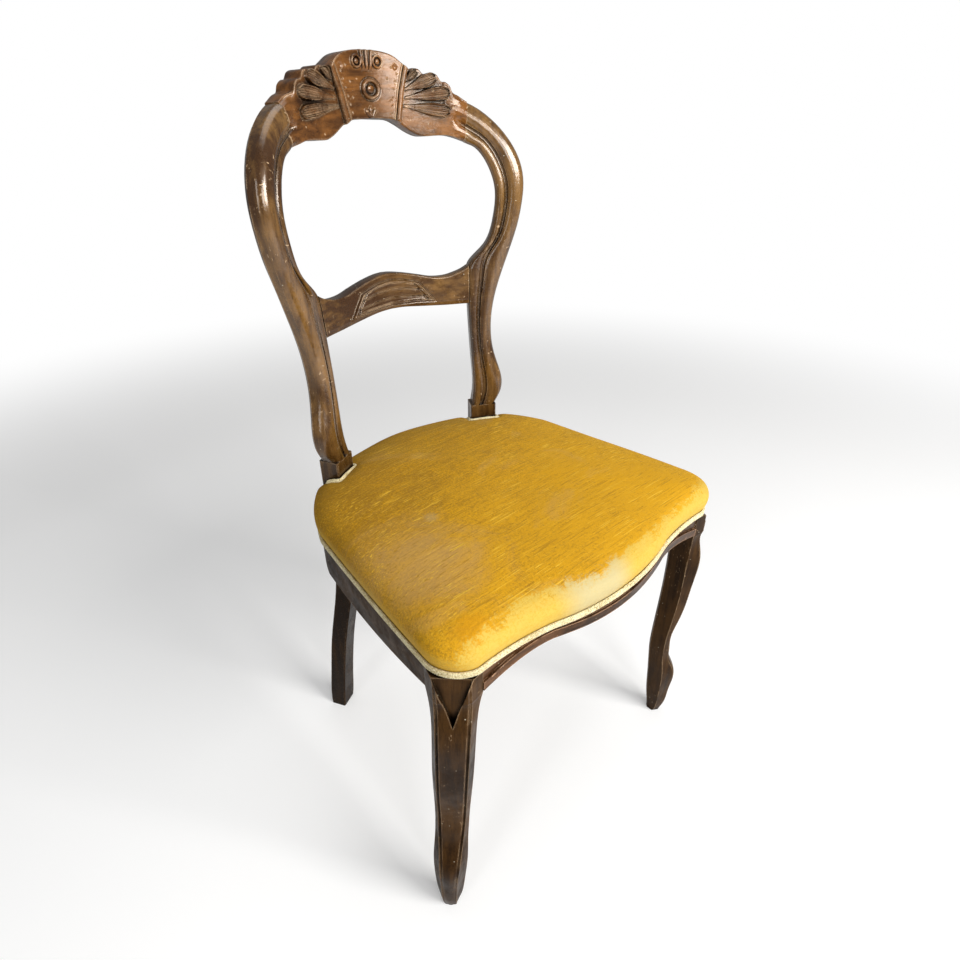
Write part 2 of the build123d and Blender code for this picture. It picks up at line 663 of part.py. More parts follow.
def screw_hole(origin, direction):
    """The screw's hole with the pocket that lets its head sink into the block."""
    shank = screw_shank / 2 + fit_gap
    head = screw_head / 2 + fit_gap
    head_height = head - shank + 0.6
    profile = [(0, -40), (head, -40), (head, 0.6 + fit_gap), (shank, head_height + fit_gap),
               (shank, screw_length + 1), (0, screw_length + 1)]
    return turned(profile, origin, direction)


block_middle_z = rail_top - 23.0
screw_spots = [
    (Vector(leg_inner_x - 40, front_hollow_y + 50.5, block_middle_z), (0, -1, 0)),
    (Vector(leg_inner_x - 16, leg_back_y + 24, block_middle_z), (1, 0, 0)),
]
for across in (-10.0, 10.0):
    start = post_middle + post_out * across - post_back * (screw_length - 12.5)
    screw_spots.append((Vector(start.X, start.Y, block_middle_z), post_back))
right_screws = [screw(p, d) for p, d in screw_spots]
right_screw_holes = [screw_hole(p, d) for p, d in screw_spots]
screws = right_screws + [mirrored(s) for s in right_screws]
front_rail -= right_screw_holes[0]
front_rail -= mirrored(right_screw_holes[0])
side_rail_right -= right_screw_holes[1]
for hole in right_screw_holes[2:]:
    back_post_right -= hole
    corner_block_rear_right -= hole
for hole in right_screw_holes[:2]:
    corner_block_front_right -= hole


# ---------------------------------------------------------------- webbing and its tacks
web_bottom = rail_top
web_top = web_bottom + webbing_thickness
fold_top = web_top + webbing_thickness
web_inset = 6.0
web_columns = (-74.0, 0.0, 74.0)
web_rows = (-105.0, -30.0, 45.0)
tack_spread = 16.0


def front_tack_y(x):
    return front_belly_y + rail_thickness / 2 + (belly_end_y - front_belly_y) * (x / belly_half_width) ** 2


def rear_tack_y(x):
    return rear_centre_y + sqrt((rear_radius - rail_thickness / 2) ** 2 - x * x)


def side_tack_x(y):
    share = (y - leg_back_y) / (side_back_y - leg_back_y)
    return front_half_width + share * (side_back_half_width - front_half_width) - rail_thickness / 2


def web_layers(strip, ends, strip_bottom, fold_bottom):
    """A strip of webbing with a doubled end on each rail."""
    inner_edge = -web_inset - webbing_fold
    whole = seat_prism(strip_bottom, strip_bottom + webbing_thickness, -web_inset) & strip
    fold = seat_prism(fold_bottom, fold_bottom + webbing_thickness, -web_inset)
    fold -= seat_prism(fold_bottom - 1, fold_bottom + webbing_thickness + 1, inner_edge)
    return whole + (fold & strip & ends)


front_to_back = []
side_to_side = []
tack_points = []
end_zone = Box(500, 500, 600) - Pos(0, -10, 0) * Box(500, 330, 600)
for x in web_columns:
    strip = Pos(x, 0, rail_top) * Box(webbing_width, 600, 200)
    front_to_back.append(web_layers(strip, Pos(0, 0, rail_top) * end_zone, web_bottom, web_top))
    for offset_x in (-tack_spread, 0, tack_spread):
        tack_points.append((x + offset_x, front_tack_y(x + offset_x)))
        tack_points.append((x + offset_x, rear_tack_y(x + offset_x)))
for y in web_rows:
    strip = Pos(0, y, rail_top) * Box(600, webbing_width, 200)
    ends = Pos(0, 0, rail_top) * (Box(600, 600, 200) - Box(300, 600, 300))
    side_to_side.append(web_layers(strip, ends, web_top, web_bottom))
    for offset_y in (-tack_spread, 0, tack_spread):
        tack_points.append((side_tack_x(y + offset_y), y + offset_y))
        tack_points.append((-side_tack_x(y + offset_y), y + offset_y))


def tack(x, y):
    profile = [(0, 0), (0, -tack_length), (tack_shank / 2, -tack_length + 2.5), (tack_shank / 2, 0),
               (tack_head / 2, 0), (tack_head / 2, 0.4), (tack_head / 5, 0.8), (0, 0.8)]
    return turned(profile, (x, y, fold_top), (0, 0, 1))


def tack_hole(x, y):
    drill_length = tack_length + 1.5
    drill_middle = fold_top + 1 - drill_length / 2
    return Pos(x, y, drill_middle) * Cylinder(tack_shank / 2 + fit_gap, drill_length)


tacks = [tack(x, y) for x, y in tack_points]
tack_holes = [tack_hole(x, y) for x, y in tack_points]


def near(holes_list, low, high):
    """The holes whose middle lies inside the plan box from low to high."""
    chosen = []
    for hole in holes_list:
        c = hole.center()
        if low[0] <= c.X <= high[0] and low[1] <= c.Y <= high[1]:
            chosen.append(hole)
    return chosen


front_rail = front_rail - near(tack_holes, (-150, -240), (150, -160))
back_seat_rail = back_seat_rail - near(tack_holes, (-120, 150), (120, 240))
side_rail_right = side_rail_right - near(tack_holes, (120, leg_back_y), (300, 100))
front_to_back = [w - near(tack_holes, (x - webbing_width / 2, -240), (x + webbing_width / 2, 240))
                 for w, x in zip(front_to_back, web_columns)]
side_to_side = [w - near(tack_holes, (-240, y - webbing_width / 2), (240, y + webbing_width / 2))
                for w, y in zip(side_to_side, web_rows)]

# ---------------------------------------------------------------- hessian, stuffing, velvet
hessian_bottom = fold_top + 1.0
hessian_top = hessian_bottom + hessian_thickness
hessian = seat_prism(hessian_bottom, hessian_top, -8)
crown_levels = [
    # height above the velvet's lower edge, outward swell, scale about the middle of the seat
    (0.0, 0.0, 1.0), (6.0, 0.0, 1.0), (9.0, 2.2, 1.0), (13.0, 3.8, 1.0), (18.0, 4.6, 1.0), (24.0, 4.4, 1.0),
    (29.5, 3.0, 1.0), (34.5, 0.5, 0.985), (39.0, 0.0, 0.95), (43.0, 0.0, 0.90), (47.0, 0.0, 0.82),
    (50.5, 0.0, 0.72), (53.5, 0.0, 0.60), (55.5, 0.0, 0.45), (57.0, 0.0, 0.25),
]
crown_height = crown_levels[-1][0]
crown_clear = velvet_bottom + crown_height + 60


def crown_form(inset):
    """The crowned seat with its rounded, drawn-in sides, drawn in all round by inset."""
    sections = []
    for height, swell, scale in crown_levels:
        z = velvet_bottom + height * (1 - inset / crown_height)
        sections.append(seat_outline(z, swell - inset, scale))
    return loft(sections, ruled=True)


def clear_of_posts(shape, margin):
    cutter = post_cutter(margin, zone_bottom, crown_clear)
    return shape - cutter - mirrored(cutter)


velvet_cover = clear_of_posts(crown_form(0) - crown_form(velvet_thickness), cloth_gap)
seat_stuffing = crown_form(velvet_thickness + cloth_gap)
seat_stuffing -= Pos(0, 0, hessian_top + cloth_gap - 50) * Box(600, 600, 100)
seat_stuffing = clear_of_posts(seat_stuffing, velvet_thickness + cloth_gap)
hessian = clear_of_posts(hessian, 1.0)

# ---------------------------------------------------------------- braid
gimp_gap = 0.1
band = seat_prism(gimp_bottom, gimp_top, gimp_gap + gimp_thickness)
band -= seat_prism(gimp_bottom, gimp_top, gimp_gap)
post_margin = cloth_gap + gimp_gap
collar = post_cutter(post_margin + gimp_width, gimp_top, crown_clear)
collar -= post_cutter(post_margin, zone_bottom, crown_clear + 10)
collar_skin = crown_form(-gimp_gap - gimp_thickness) - crown_form(-gimp_gap)
collar = collar & collar_skin
gimp_braid = clear_of_posts(band, post_margin) + collar + mirrored(collar)

# ---------------------------------------------------------------- output
pieces = {
    "crest_rail": crest,
    "lower_back_rail": lower_back_rail,
    "front_rail": front_rail,
    "back_seat_rail": back_seat_rail,
    "velvet_cover": velvet_cover,
    "seat_stuffing": seat_stuffing,
    "hessian": hessian,
    "gimp_braid": gimp_braid,
    "webbing_front_to_back": Compound(children=front_to_back),
    "webbing_side_to_side": Compound(children=side_to_side),
    "webbing_tacks": Compound(children=tacks),
    "corner_block_screws": Compound(children=screws),
}
handed_pieces = {
    "back_post": back_post_right,
    "front_leg": front_leg_right,
    "side_rail": side_rail_right,
    "corner_block_front": corner_block_front_right,
    "corner_block_rear": corner_block_rear_right,
}
for name, right_piece in handed_pieces.items():
    pieces[name + "_right"] = right_piece
    pieces[name + "_left"] = mirrored(right_piece)
for name, pins in dowels.items():
    pieces[name] = Compound(children=pins)
# The origin goes to the middle of the overall depth, on the floor.
boxes = [piece.bounding_box() for piece in pieces.values()]
middle_y = (min(box.min.Y for box in boxes) + max(box.max.Y for box in boxes)) / 2
for name, piece in pieces.items():
    save(Pos(0, -middle_y, 0) * piece, name)
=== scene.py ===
import math
import bpy
import numpy as np
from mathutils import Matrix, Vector


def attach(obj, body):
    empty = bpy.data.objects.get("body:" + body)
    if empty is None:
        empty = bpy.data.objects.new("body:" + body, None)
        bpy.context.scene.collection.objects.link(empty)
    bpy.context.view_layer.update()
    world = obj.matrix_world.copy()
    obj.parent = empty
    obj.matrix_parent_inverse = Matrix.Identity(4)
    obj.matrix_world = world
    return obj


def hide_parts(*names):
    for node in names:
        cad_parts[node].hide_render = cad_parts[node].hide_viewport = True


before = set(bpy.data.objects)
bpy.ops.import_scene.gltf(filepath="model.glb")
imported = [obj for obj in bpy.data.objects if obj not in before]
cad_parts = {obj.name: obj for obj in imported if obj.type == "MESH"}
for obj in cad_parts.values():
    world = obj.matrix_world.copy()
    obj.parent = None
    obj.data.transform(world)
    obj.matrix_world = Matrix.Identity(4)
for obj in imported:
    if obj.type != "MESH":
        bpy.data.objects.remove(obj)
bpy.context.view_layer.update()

MM = 0.001
SHIFT_Y = -3.65  # mm along Y from the drawing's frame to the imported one

# ---- sizes shared with the solids, in mm
BLOCK_TOP = 486.0  # the back posts are plain blocks up to here
BACK_RADIUS = 255.0  # the back's front face is an arc in plan, hollow towards the sitter
BACK_FRONT_Y = 175.5  # the middle of that face at BLOCK_TOP
BACK_RAKE = 0.092  # its lean there, which lessens upwards by twice BACK_BOW per mm
BACK_BOW = 0.00005
POST_ANGLE = math.radians(28.8)
POST_WIDTH = 38.5
POST_DEPTH = 27.0
GIMP_TOP = 426.0
GIMP_BOTTOM = 418.0
RAIL_TOP = 436.0
CREST_DEPTH = 23.0
LOWER_DEPTH = 20.0


# ---- mesh helpers, in mm
def add_object(name, data):
    obj = bpy.data.objects.new(name, data)
    bpy.context.scene.collection.objects.link(obj)
    return obj


def new_object(name, verts, faces, sharp):
    """A smooth-shaded object, crisp where it bends by more than sharp degrees unless that is 0."""
    verts = np.asarray(verts, float).copy()
    verts[:, 1] += SHIFT_Y
    verts *= MM
    mesh = bpy.data.meshes.new(name)
    mesh.from_pydata([tuple(v) for v in verts], [], [tuple(int(i) for i in f) for f in faces])
    mesh.validate()
    mesh.update()
    mesh.polygons.foreach_set("use_smooth", [True] * len(mesh.polygons))
    if sharp:
        mesh.set_sharp_from_angle(angle=math.radians(sharp))
    return add_object(name, mesh)


def grid_faces(rows, cols, start=0, wrap=False, turned=False):
    """Quads of a rows by cols lattice of points, whose rows close on themselves if wrap is true."""
    faces = []
    for row in range(rows - 1):
        here = start + row * cols
        for c in range(cols if wrap else cols - 1):
            d = (c + 1) % cols
            face = (here + c, here + d, here + cols + d, here + cols + c)
            faces.append(face[::-1] if turned else face)
    return faces


def slab_faces(rows, cols):
    """Faces of a closed slab: a lattice of points, a second one behind it, and the border between them."""
    count = rows * cols
    border = list(range(cols)) + [r * cols + cols - 1 for r in range(1, rows)]
    border += [(rows - 1) * cols + c for c in range(cols - 2, -1, -1)]
    border += [r * cols for r in range(rows - 2, 0, -1)]
    faces = grid_faces(rows, cols) + grid_faces(rows, cols, count, turned=True)
    return faces + [(b, a, a + count, b + count) for a, b in zip(border, border[1:] + border[:1])]


def smoothstep(a, b, x):
    t = np.clip((x - a) / (b - a), 0.0, 1.0)
    return t * t * (3 - 2 * t)


def lifted(points, z):
    """Plan points with a height, or plan directions with a rise."""
    return np.column_stack([points, np.broadcast_to(z, len(points))])


def unit(vectors):
    return vectors / np.linalg.norm(vectors, axis=-1, keepdims=True)


def value_at(x, xs, ys, period=None):
    """Where the line through unsorted points is at x."""
    order = np.argsort(xs)
    return np.interp(x, xs[order], ys[order], period=period)


def dome(d):
    """Height of a half-round of radius 1 at distance d from its middle."""
    return np.sqrt(np.clip(1 - d ** 2, 0, 1))


def ridge(d, width):
    """A soft ridge of height 1 at distance d from its middle."""
    return np.exp(-(d / width) ** 2)


def curve_through(points, samples):
    """A smooth curve through points, with samples steps from each to the next."""
    p = np.asarray(points, float)
    p = np.vstack([2 * p[0] - p[1], p, 2 * p[-1] - p[-2]])
    out = []
    for i in range(1, len(p) - 2):
        a, b, c, d = p[i - 1:i + 3]
        for t in np.linspace(0, 1, samples, endpoint=False):
            out.append(0.5 * ((2 * b) + (c - a) * t + (2 * a - 5 * b + 4 * c - d) * t * t
                              + (3 * b - a - 3 * c + d) * t ** 3))
    out.append(p[-2])
    return np.array(out)


# ---- materials, in metres
class Nodes:
    """Short names for building a material's node tree."""

    def __init__(self, name):
        self.mat = bpy.data.materials.new(name)
        self.mat.use_nodes = True
        self.tree = self.mat.node_tree
        self.bsdf = self.tree.nodes["Principled BSDF"]
        self.coords = self.add("TexCoord").outputs["Object"]

    def link(self, a, b):
        self.tree.links.new(a, b)

    def feed(self, socket, value):
        """Give an input a number, a vector or colour, or another node's output. None leaves it as it is."""
        if value is None:
            return
        if isinstance(value, (int, float)):
            socket.default_value = value
        elif isinstance(value, tuple):
            socket.default_value = value if len(socket.default_value) == len(value) else (*value, 1.0)
        else:
            self.link(value, socket)

    def add(self, kind, inputs=None, **settings):
        node = self.tree.nodes.new("ShaderNode" + kind)
        for key, value in settings.items():
            setattr(node, key, value)
        for key, value in (inputs or {}).items():
            self.feed(node.inputs[key], value)
        return node

    def set(self, **values):
        for key, value in values.items():
            self.feed(self.bsdf.inputs[key.replace("_", " ")], value)

    def scaled(self, scale, rotation=(0, 0, 0)):
        inputs = {"Vector": self.coords, "Scale": scale, "Rotation": rotation}
        return self.add("Mapping", inputs).outputs["Vector"]

    def noise(self, scale, detail=4.0, rough=0.55, distortion=0.0, vector=None):
        inputs = {"Vector": vector or self.coords, "Scale": scale, "Detail": detail, "Roughness": rough,
                  "Distortion": distortion}
        return self.add("TexNoise", inputs).outputs["Fac"]

    def from_grains(self, scale):
        """Distance to the nearest of many scattered points."""
        return self.add("TexVoronoi", {"Vector": self.coords, "Scale": scale}).outputs["Distance"]

    def ramp(self, fac, low, high, to_low=0.0, to_high=1.0):
        """A soft step from to_low, where fac is at low, to to_high, where it is at high."""
        inputs = {"Value": fac, "From Min": low, "From Max": high, "To Min": to_low, "To Max": to_high}
        return self.add("MapRange", inputs, interpolation_type="SMOOTHSTEP").outputs["Result"]

    def math(self, op, a, b=None, clamp=False):
        return self.add("Math", {0: a, 1: b}, operation=op, use_clamp=clamp).outputs[0]

    def plus(self, a, b):
        return self.math("ADD", a, b)

    def minus(self, a, b):
        return self.math("SUBTRACT", a, b)

    def times(self, a, b, clamp=False):
        return self.math("MULTIPLY", a, b, clamp)

    def larger(self, a, b):
        return self.math("MAXIMUM", a, b)

    def distance(self, x, y):
        return self.math("SQRT", self.plus(self.math("POWER", x, 2.0), self.math("POWER", y, 2.0)))

    def shifted(self, fac, amount):
        """Noise about 0, amount times as strong."""
        return self.times(self.minus(fac, 0.5), amount)

    def mix(self, fac, a, b, blend="MIX"):
        return self.add("Mix", {0: fac, 6: a, 7: b}, data_type="RGBA", blend_type=blend).outputs[2]

    def paint(self, fac, colour, blend="MIX"):
        """Lay a colour over what has been laid so far."""
        self.colour = self.mix(fac, self.colour, colour, blend)

    def bump(self, height, strength, distance, normal=None):
        inputs = {"Height": height, "Strength": strength, "Distance": distance, "Normal": normal}
        return self.add("Bump", inputs).outputs["Normal"]

    def edges(self, radius, low, high):
        """1 on crisp convex or concave edges, 0 on flat faces."""
        rounded = self.add("Bevel", {"Radius": radius}, samples=4).outputs["Normal"]
        flat = self.add("NewGeometry").outputs["Normal"]
        dot = self.add("VectorMath", {0: rounded, 1: flat}, operation="DOT_PRODUCT")
        return self.ramp(self.minus(1.0, dot.outputs["Value"]), low, high)

    def crevices(self, distance):
        """1 in tight hollows, 0 in the open."""
        node = self.add("AmbientOcclusion", {"Distance": distance}, samples=8)
        return self.math("SUBTRACT", 1.0, node.outputs["AO"], clamp=True)

    def axis(self, which, source=None):
        return self.add("SeparateXYZ", {0: source or self.coords}).outputs[which]


WARM_GLOSS = (1.0, 0.72, 0.48)
LEG_GLOSS = (1.0, 0.48, 0.13)
LEG_TONES = (0.012, 0.0055, 0.0025), (0.056, 0.026, 0.0075)  # dark and light
LEG_WORN = (0.4, 0.27, 0.16)
RAIL_TONES = LEG_TONES[0], (0.11, 0.048, 0.019)
RAIL_WORN = (0.44, 0.25, 0.14)
BACK_TONES = (0.042, 0.016, 0.004), (0.195, 0.1, 0.028)
CREST_TONES = (0.048, 0.017, 0.004), (0.235, 0.092, 0.021)
# pale enough that the rubbed edges of the back, crest and lower rail also paint highlights
BACK_WORN_AND_HIGHLIGHT = (0.6, 0.42, 0.25)
BEECH_TONES = (0.3, 0.19, 0.1), (0.55, 0.39, 0.23)
BEECH_WORN = (0.66, 0.36, 0.17)
PALE_SPECK = (0.62, 0.55, 0.42)
LEAVES_DARKENING = (0.42, 0.38, 0.36)  # multiplies the colour between the leaves of the crest, darkening it
LEAVES_X = (0.047, 0.112)  # the leaves' inner and outer end, from the middle
LEAVES_Z = 0.866
UNDER_SEAT_SHADE = (0.13, 0.11, 0.1)  # painted shade: multiplies the colour low on the posts, in the seat's shadow, where the polish also ends
SHADE_AND_DULL_Z = (0.4, 0.56)  # full painted shade and dull polish below the first height, none above the second
GRAIN_STRETCH = 12.0
RUBBED_AND_HIGHLIT_RADIUS = 0.0022
# reach of the painted shade and grime in the hollows
SHADE_AND_GRIME_REACH = 0.008


def wood(name, tones, grain, wear, rough, coat, gloss=0.38, tint=WARM_GLOSS, worn_and_highlight=BEECH_WORN, speck=1.0,
         shade_and_dirt=0.94, leaves=False, shaded_dull_foot=False):
    """Old polished wood: grain along one axis, rubbed edges painted pale for highlights, painted shade with
    grime in the hollows, scratches and pale specks.
    """
    n = Nodes(name)
    dark, light = tones
    stretched = n.scaled(tuple(1.0 / GRAIN_STRETCH if axis == grain else 1.0 for axis in "XYZ"))
    cloudy = n.noise(9.0, 5.0, 0.6)
    streaks = n.noise(120.0, 6.0, 0.62, 0.35, stretched)
    pores = n.noise(700.0, 3.0, 0.7, vector=stretched)
    figure = n.plus(n.times(cloudy, 0.55), n.times(streaks, 0.45))
    n.colour = n.mix(n.ramp(figure, 0.4, 0.63), dark, light)
    n.paint(n.ramp(pores, 0.55, 0.7, 0.0, 0.55), tuple(0.35 * c for c in dark))
    # Polish is rubbed through on the edges, in patches, and their pale colour also paints highlights there;
    # painted shade with dirt darkens the hollows.
    patches = n.noise(38.0, 6.0, 0.72)
    rubbed_and_highlit = n.times(n.edges(RUBBED_AND_HIGHLIT_RADIUS, 0.006, 0.08), n.ramp(patches, 0.38, 0.56), clamp=True)
    n.paint(n.times(rubbed_and_highlit, wear), worn_and_highlight)
    n.paint(n.ramp(n.crevices(SHADE_AND_GRIME_REACH), 0.13, 0.5, 0.0, shade_and_dirt), tuple(0.15 * c for c in dark))
    # Slanted scratches and scattered specks.
    scratch = n.noise(18.0, 2.0, 0.5, vector=n.scaled((5.0, 40.0, 14.0), (0.5, 0.9, 0.3)))
    scratch = n.ramp(scratch, 0.665, 0.7)
    scratch = n.times(scratch, n.ramp(n.noise(30.0, 2.0), 0.5, 0.6))
    n.paint(n.times(scratch, 0.8 * wear), worn_and_highlight)
    specks = n.times(n.ramp(n.from_grains(115.0), 0.1, 0.05), n.ramp(n.noise(75.0, 1.0), 0.52, 0.57))
    n.paint(n.times(specks, 0.8 * speck, clamp=True), PALE_SPECK)
    if leaves:
        aside = n.math("ABSOLUTE", n.axis("X"))
        zone = n.times(n.ramp(aside, LEAVES_X[0], LEAVES_X[0] + 0.006),
                       n.ramp(aside, LEAVES_X[1], LEAVES_X[1] - 0.012))
        zone = n.times(zone, n.ramp(n.axis("Z"), LEAVES_Z, LEAVES_Z + 0.006))
        n.paint(n.times(zone, 0.55), LEAVES_DARKENING, "MULTIPLY")
    n.set(Coat_Weight=coat, Specular_IOR_Level=gloss)
    # Painted shade: low on the posts, in the seat's shadow, the colour is darkened, and the polish ends there
    # too.
    if shaded_dull_foot:
        shade_and_dull = n.ramp(n.axis("Z"), SHADE_AND_DULL_Z[1], SHADE_AND_DULL_Z[0])
        n.paint(shade_and_dull, UNDER_SEAT_SHADE, "MULTIPLY")
        polished = n.minus(1.0, shade_and_dull)
        n.set(Coat_Weight=n.times(polished, coat),
              Specular_IOR_Level=n.plus(n.times(polished, 0.8 * gloss), 0.2 * gloss))
    roughness = n.plus(n.ramp(patches, 0.35, 0.7, rough - 0.08, rough + 0.16), n.times(rubbed_and_highlit, 0.12))
    normal = n.bump(n.plus(streaks, n.times(pores, 0.5)), 0.25, 0.0006)
    normal = n.bump(n.noise(26.0, 3.0), 0.35, 0.0016, normal)
    coat_normal = n.bump(n.noise(150.0, 4.0, 0.7), 0.3, 0.0008)
    n.set(Base_Color=n.colour, Roughness=roughness, Normal=normal, Specular_Tint=tint,
          Coat_Roughness=0.14, Coat_Normal=coat_normal)
    return n.mat


VELVET_DEEP = (0.3, 0.145, 0.01)
VELVET_GOLD = (0.62, 0.315, 0.01)
VELVET_SLUB = (0.8, 0.5, 0.05)
VELVET_PALE = (0.62, 0.43, 0.082)
VELVET_BLEACHED = (0.51, 0.46, 0.28)
VELVET_ORANGE = (0.62, 0.27, 0.004)
VELVET_TAN = (0.5, 0.3, 0.11)
VELVET_SHEEN = (1.0, 0.66, 0.16)
FLATTENED_AT = (-0.165, -0.085)  # places on the seat, in plan
MARK_AT = (-0.115, -0.03)
POCKET_AT = (-0.19, -0.193)
BLEACHED_X = -0.042
FRONT_EDGE_Y = (-0.222, -0.2)  # the seat's front edge in the middle and towards its corners


def velvet():
    """Crushed gold velvet: slubs across the seat, brushed patches and a pale, worn roll along the front."""
    n = Nodes("gold_velvet")
    x, y = n.axis("X"), n.axis("Y")

    def distance_to(place):
        return n.distance(n.minus(x, place[0]), n.minus(y, place[1]))

    def threads(scale, rotation, detail=2.0, rough=0.55):
        """Noise drawn out into threads across the seat."""
        return n.noise(1.0, detail, rough, vector=n.scaled(scale, rotation))

    # Painted light and shade: the cover is painted lighter towards the front and right, where the main lamp
    # falls, and darker at the back and left.
    painted_light_slope = n.plus(n.ramp(y, 0.19, -0.17, 0.0, 0.6), n.ramp(x, -0.21, 0.2, 0.0, 0.42))
    crush = n.noise(12.0, 8.0, 0.74, 0.8)
    mottle = n.noise(380.0, 5.0, 0.78, 0.4)
    slub = threads((16.0, 430.0, 430.0), (0, 0, 0.03), 3.0, 0.6)
    shade = n.plus(n.plus(painted_light_slope, n.shifted(crush, 1.25)), n.shifted(mottle, 2.8))
    shade = n.plus(shade, n.shifted(slub, 1.2))
    n.colour = n.mix(n.ramp(shade, -0.05, 0.95), VELVET_DEEP, VELVET_GOLD)
    # Flattened patches where the ground shows greyer through the pile, the largest on the left.
    scattered = n.noise(7.6, 4.0, 0.6, 0.9, n.scaled((1.0, 1.5, 1.0)))
    largest = n.ramp(n.plus(distance_to(FLATTENED_AT), n.shifted(crush, 0.17)), 0.1, 0.02)
    flattened = n.larger(n.ramp(scattered, 0.56, 0.7, 0.0, 0.55), largest)
    n.paint(n.times(flattened, 0.6), VELVET_TAN)
    # Long thin slubs, some catching the light and some dark.
    bright = n.ramp(threads((15.0, 720.0, 720.0), (0, 0, 0.02)), 0.58, 0.67)
    bright = n.times(bright, n.ramp(n.noise(22.0, 3.0), 0.42, 0.6, 0.25, 1.0))
    dark = n.ramp(threads((22.0, 560.0, 560.0), (0.4, 0.2, 0.05)), 0.58, 0.68)
    n.paint(n.times(bright, 0.8), VELVET_SLUB)
    n.paint(n.times(dark, 0.6), VELVET_DEEP)
    # Distance from the seat's front edge, ragged, and shifted where the worn roll is narrower or wider.
    ragged = n.plus(n.shifted(n.noise(30.0, 9.0, 0.78, 0.6), 0.07), n.shifted(mottle, 0.03))
    edge_y = n.ramp(n.math("ABSOLUTE", x), 0.02, 0.13, *FRONT_EDGE_Y)
    narrower = n.minus(n.ramp(x, 0.05, 0.11, 0.0, 0.008), n.ramp(x, 0.165, 0.205, 0.0, 0.01))
    narrower = n.plus(narrower, n.ramp(x, -0.14, -0.18, 0.0, 0.004))
    from_edge = n.plus(n.plus(n.minus(y, edge_y), ragged), narrower)
    # A deep orange pocket behind the front left corner.
    pocket = n.ramp(n.plus(distance_to(POCKET_AT), ragged), 0.03, 0.01)
    n.paint(n.times(pocket, 0.6), VELVET_ORANGE)
    # The pile is worn pale on the roll along the front, and a little down the other sides.
    normal_in = n.add("NewGeometry").outputs["Normal"]
    facing_front = n.times(n.ramp(n.axis("Y", normal_in), -0.62, -0.92), n.ramp(from_edge, 0.03, 0.014))
    nap = n.larger(n.larger(n.ramp(from_edge, 0.014, 0.005), facing_front),
                   n.ramp(n.axis("Z", normal_in), 0.35, 0.0, 0.0, 0.4))
    nap = n.times(nap, n.ramp(mottle, 0.44, 0.6, 1.0, 0.6), clamp=True)
    n.paint(nap, VELVET_PALE)
    # Bleached right through where sitters' legs rub the front, and one small pale mark on the top.
    bleached = n.ramp(n.math("ABSOLUTE", n.plus(x, -BLEACHED_X)), 0.062, 0.018)
    bleached = n.times(bleached, n.ramp(from_edge, 0.016, 0.002))
    n.paint(n.times(bleached, 0.8), VELVET_BLEACHED)
    mark = n.ramp(n.plus(distance_to(MARK_AT), n.shifted(mottle, 0.012)), 0.012, 0.003)
    n.paint(n.times(mark, 0.2), VELVET_BLEACHED)
    fibre = n.noise(1400.0, 2.0, 0.7)
    n.paint(n.ramp(fibre, 0.4, 0.75, 0.0, 0.18), VELVET_SLUB)
    pile = n.plus(n.plus(n.times(mottle, 1.2), n.times(fibre, 0.5)), n.times(slub, 0.9))
    normal = n.bump(crush, 0.4, 0.004, n.bump(pile, 0.55, 0.0014))
    n.set(Base_Color=n.colour, Roughness=n.ramp(crush, 0.3, 0.7, 0.62, 0.85), Normal=normal,
          Sheen_Weight=0.25, Sheen_Roughness=0.4, Sheen_Tint=VELVET_SHEEN, Specular_IOR_Level=0.08)
    return n.mat


def cloth(name, dark, light, pitch, turn=0.0):
    """A plain weave with threads pitch mm apart, turned by turn radians."""
    n = Nodes(name)
    rate = 2 * math.pi / (pitch * MM)
    turned = n.scaled((1, 1, 1), (0, 0, turn))
    wobble = n.times(n.noise(60.0, 3.0), 2.5)
    over, under = (n.math("SINE", n.plus(n.times(n.axis(axis, turned), rate), wobble)) for axis in "XY")
    weave = n.times(over, under)
    fuzz = n.noise(900.0, 4.0, 0.7)
    stain = n.noise(14.0, 5.0, 0.65)
    shade = n.plus(n.times(weave, 0.25), n.plus(n.times(fuzz, 0.4), stain))
    n.set(Base_Color=n.mix(n.ramp(shade, 0.35, 1.15), dark, light), Roughness=0.9,
          Normal=n.bump(n.plus(weave, n.times(fuzz, 0.6)), 0.8, 0.0007), Sheen_Weight=0.2,
          Specular_IOR_Level=0.2)
    return n.mat


BRAID_CREAM = (0.82, 0.71, 0.4)
BRAID_SOILED = (0.58, 0.45, 0.18)
BRAID_FIBRE = (0.92, 0.86, 0.62)
BRAID_SHADE = (0.26, 0.17, 0.05)
BRAID_HOLLOW_SHADE = (0.3, 0.2, 0.06)


def braid_material():
    """Fuzzy cream braid, soiled in places."""
    n = Nodes("cream_braid")
    yarn = n.noise(620.0, 5.0, 0.85)
    n.colour = n.mix(n.ramp(n.noise(26.0, 6.0, 0.7), 0.38, 0.62), BRAID_SOILED, BRAID_CREAM)
    n.paint(n.ramp(yarn, 0.46, 0.58, 0.0, 0.75), BRAID_FIBRE)
    n.paint(n.ramp(yarn, 0.49, 0.38, 0.0, 0.85), BRAID_SHADE)
    # Painted shade in the hollows between the strands.
    n.paint(n.ramp(n.crevices(0.0016), 0.3, 0.85, 0.0, 0.7), BRAID_HOLLOW_SHADE)
    n.set(Base_Color=n.colour, Roughness=0.85, Normal=n.bump(yarn, 0.9, 0.001), Sheen_Weight=0.3,
          Specular_IOR_Level=0.2)
    return n.mat


def metal(name, colour, tarnish, rough):
    n = Nodes(name)
    spots = n.noise(240.0, 5.0, 0.7)
    n.set(Base_Color=n.mix(n.ramp(spots, 0.42, 0.66), colour, tarnish), Metallic=1.0,
          Roughness=n.ramp(spots, 0.3, 0.7, rough, rough + 0.25),
          Normal=n.bump(n.noise(900.0, 3.0), 0.2, 0.0002))
    return n.mat


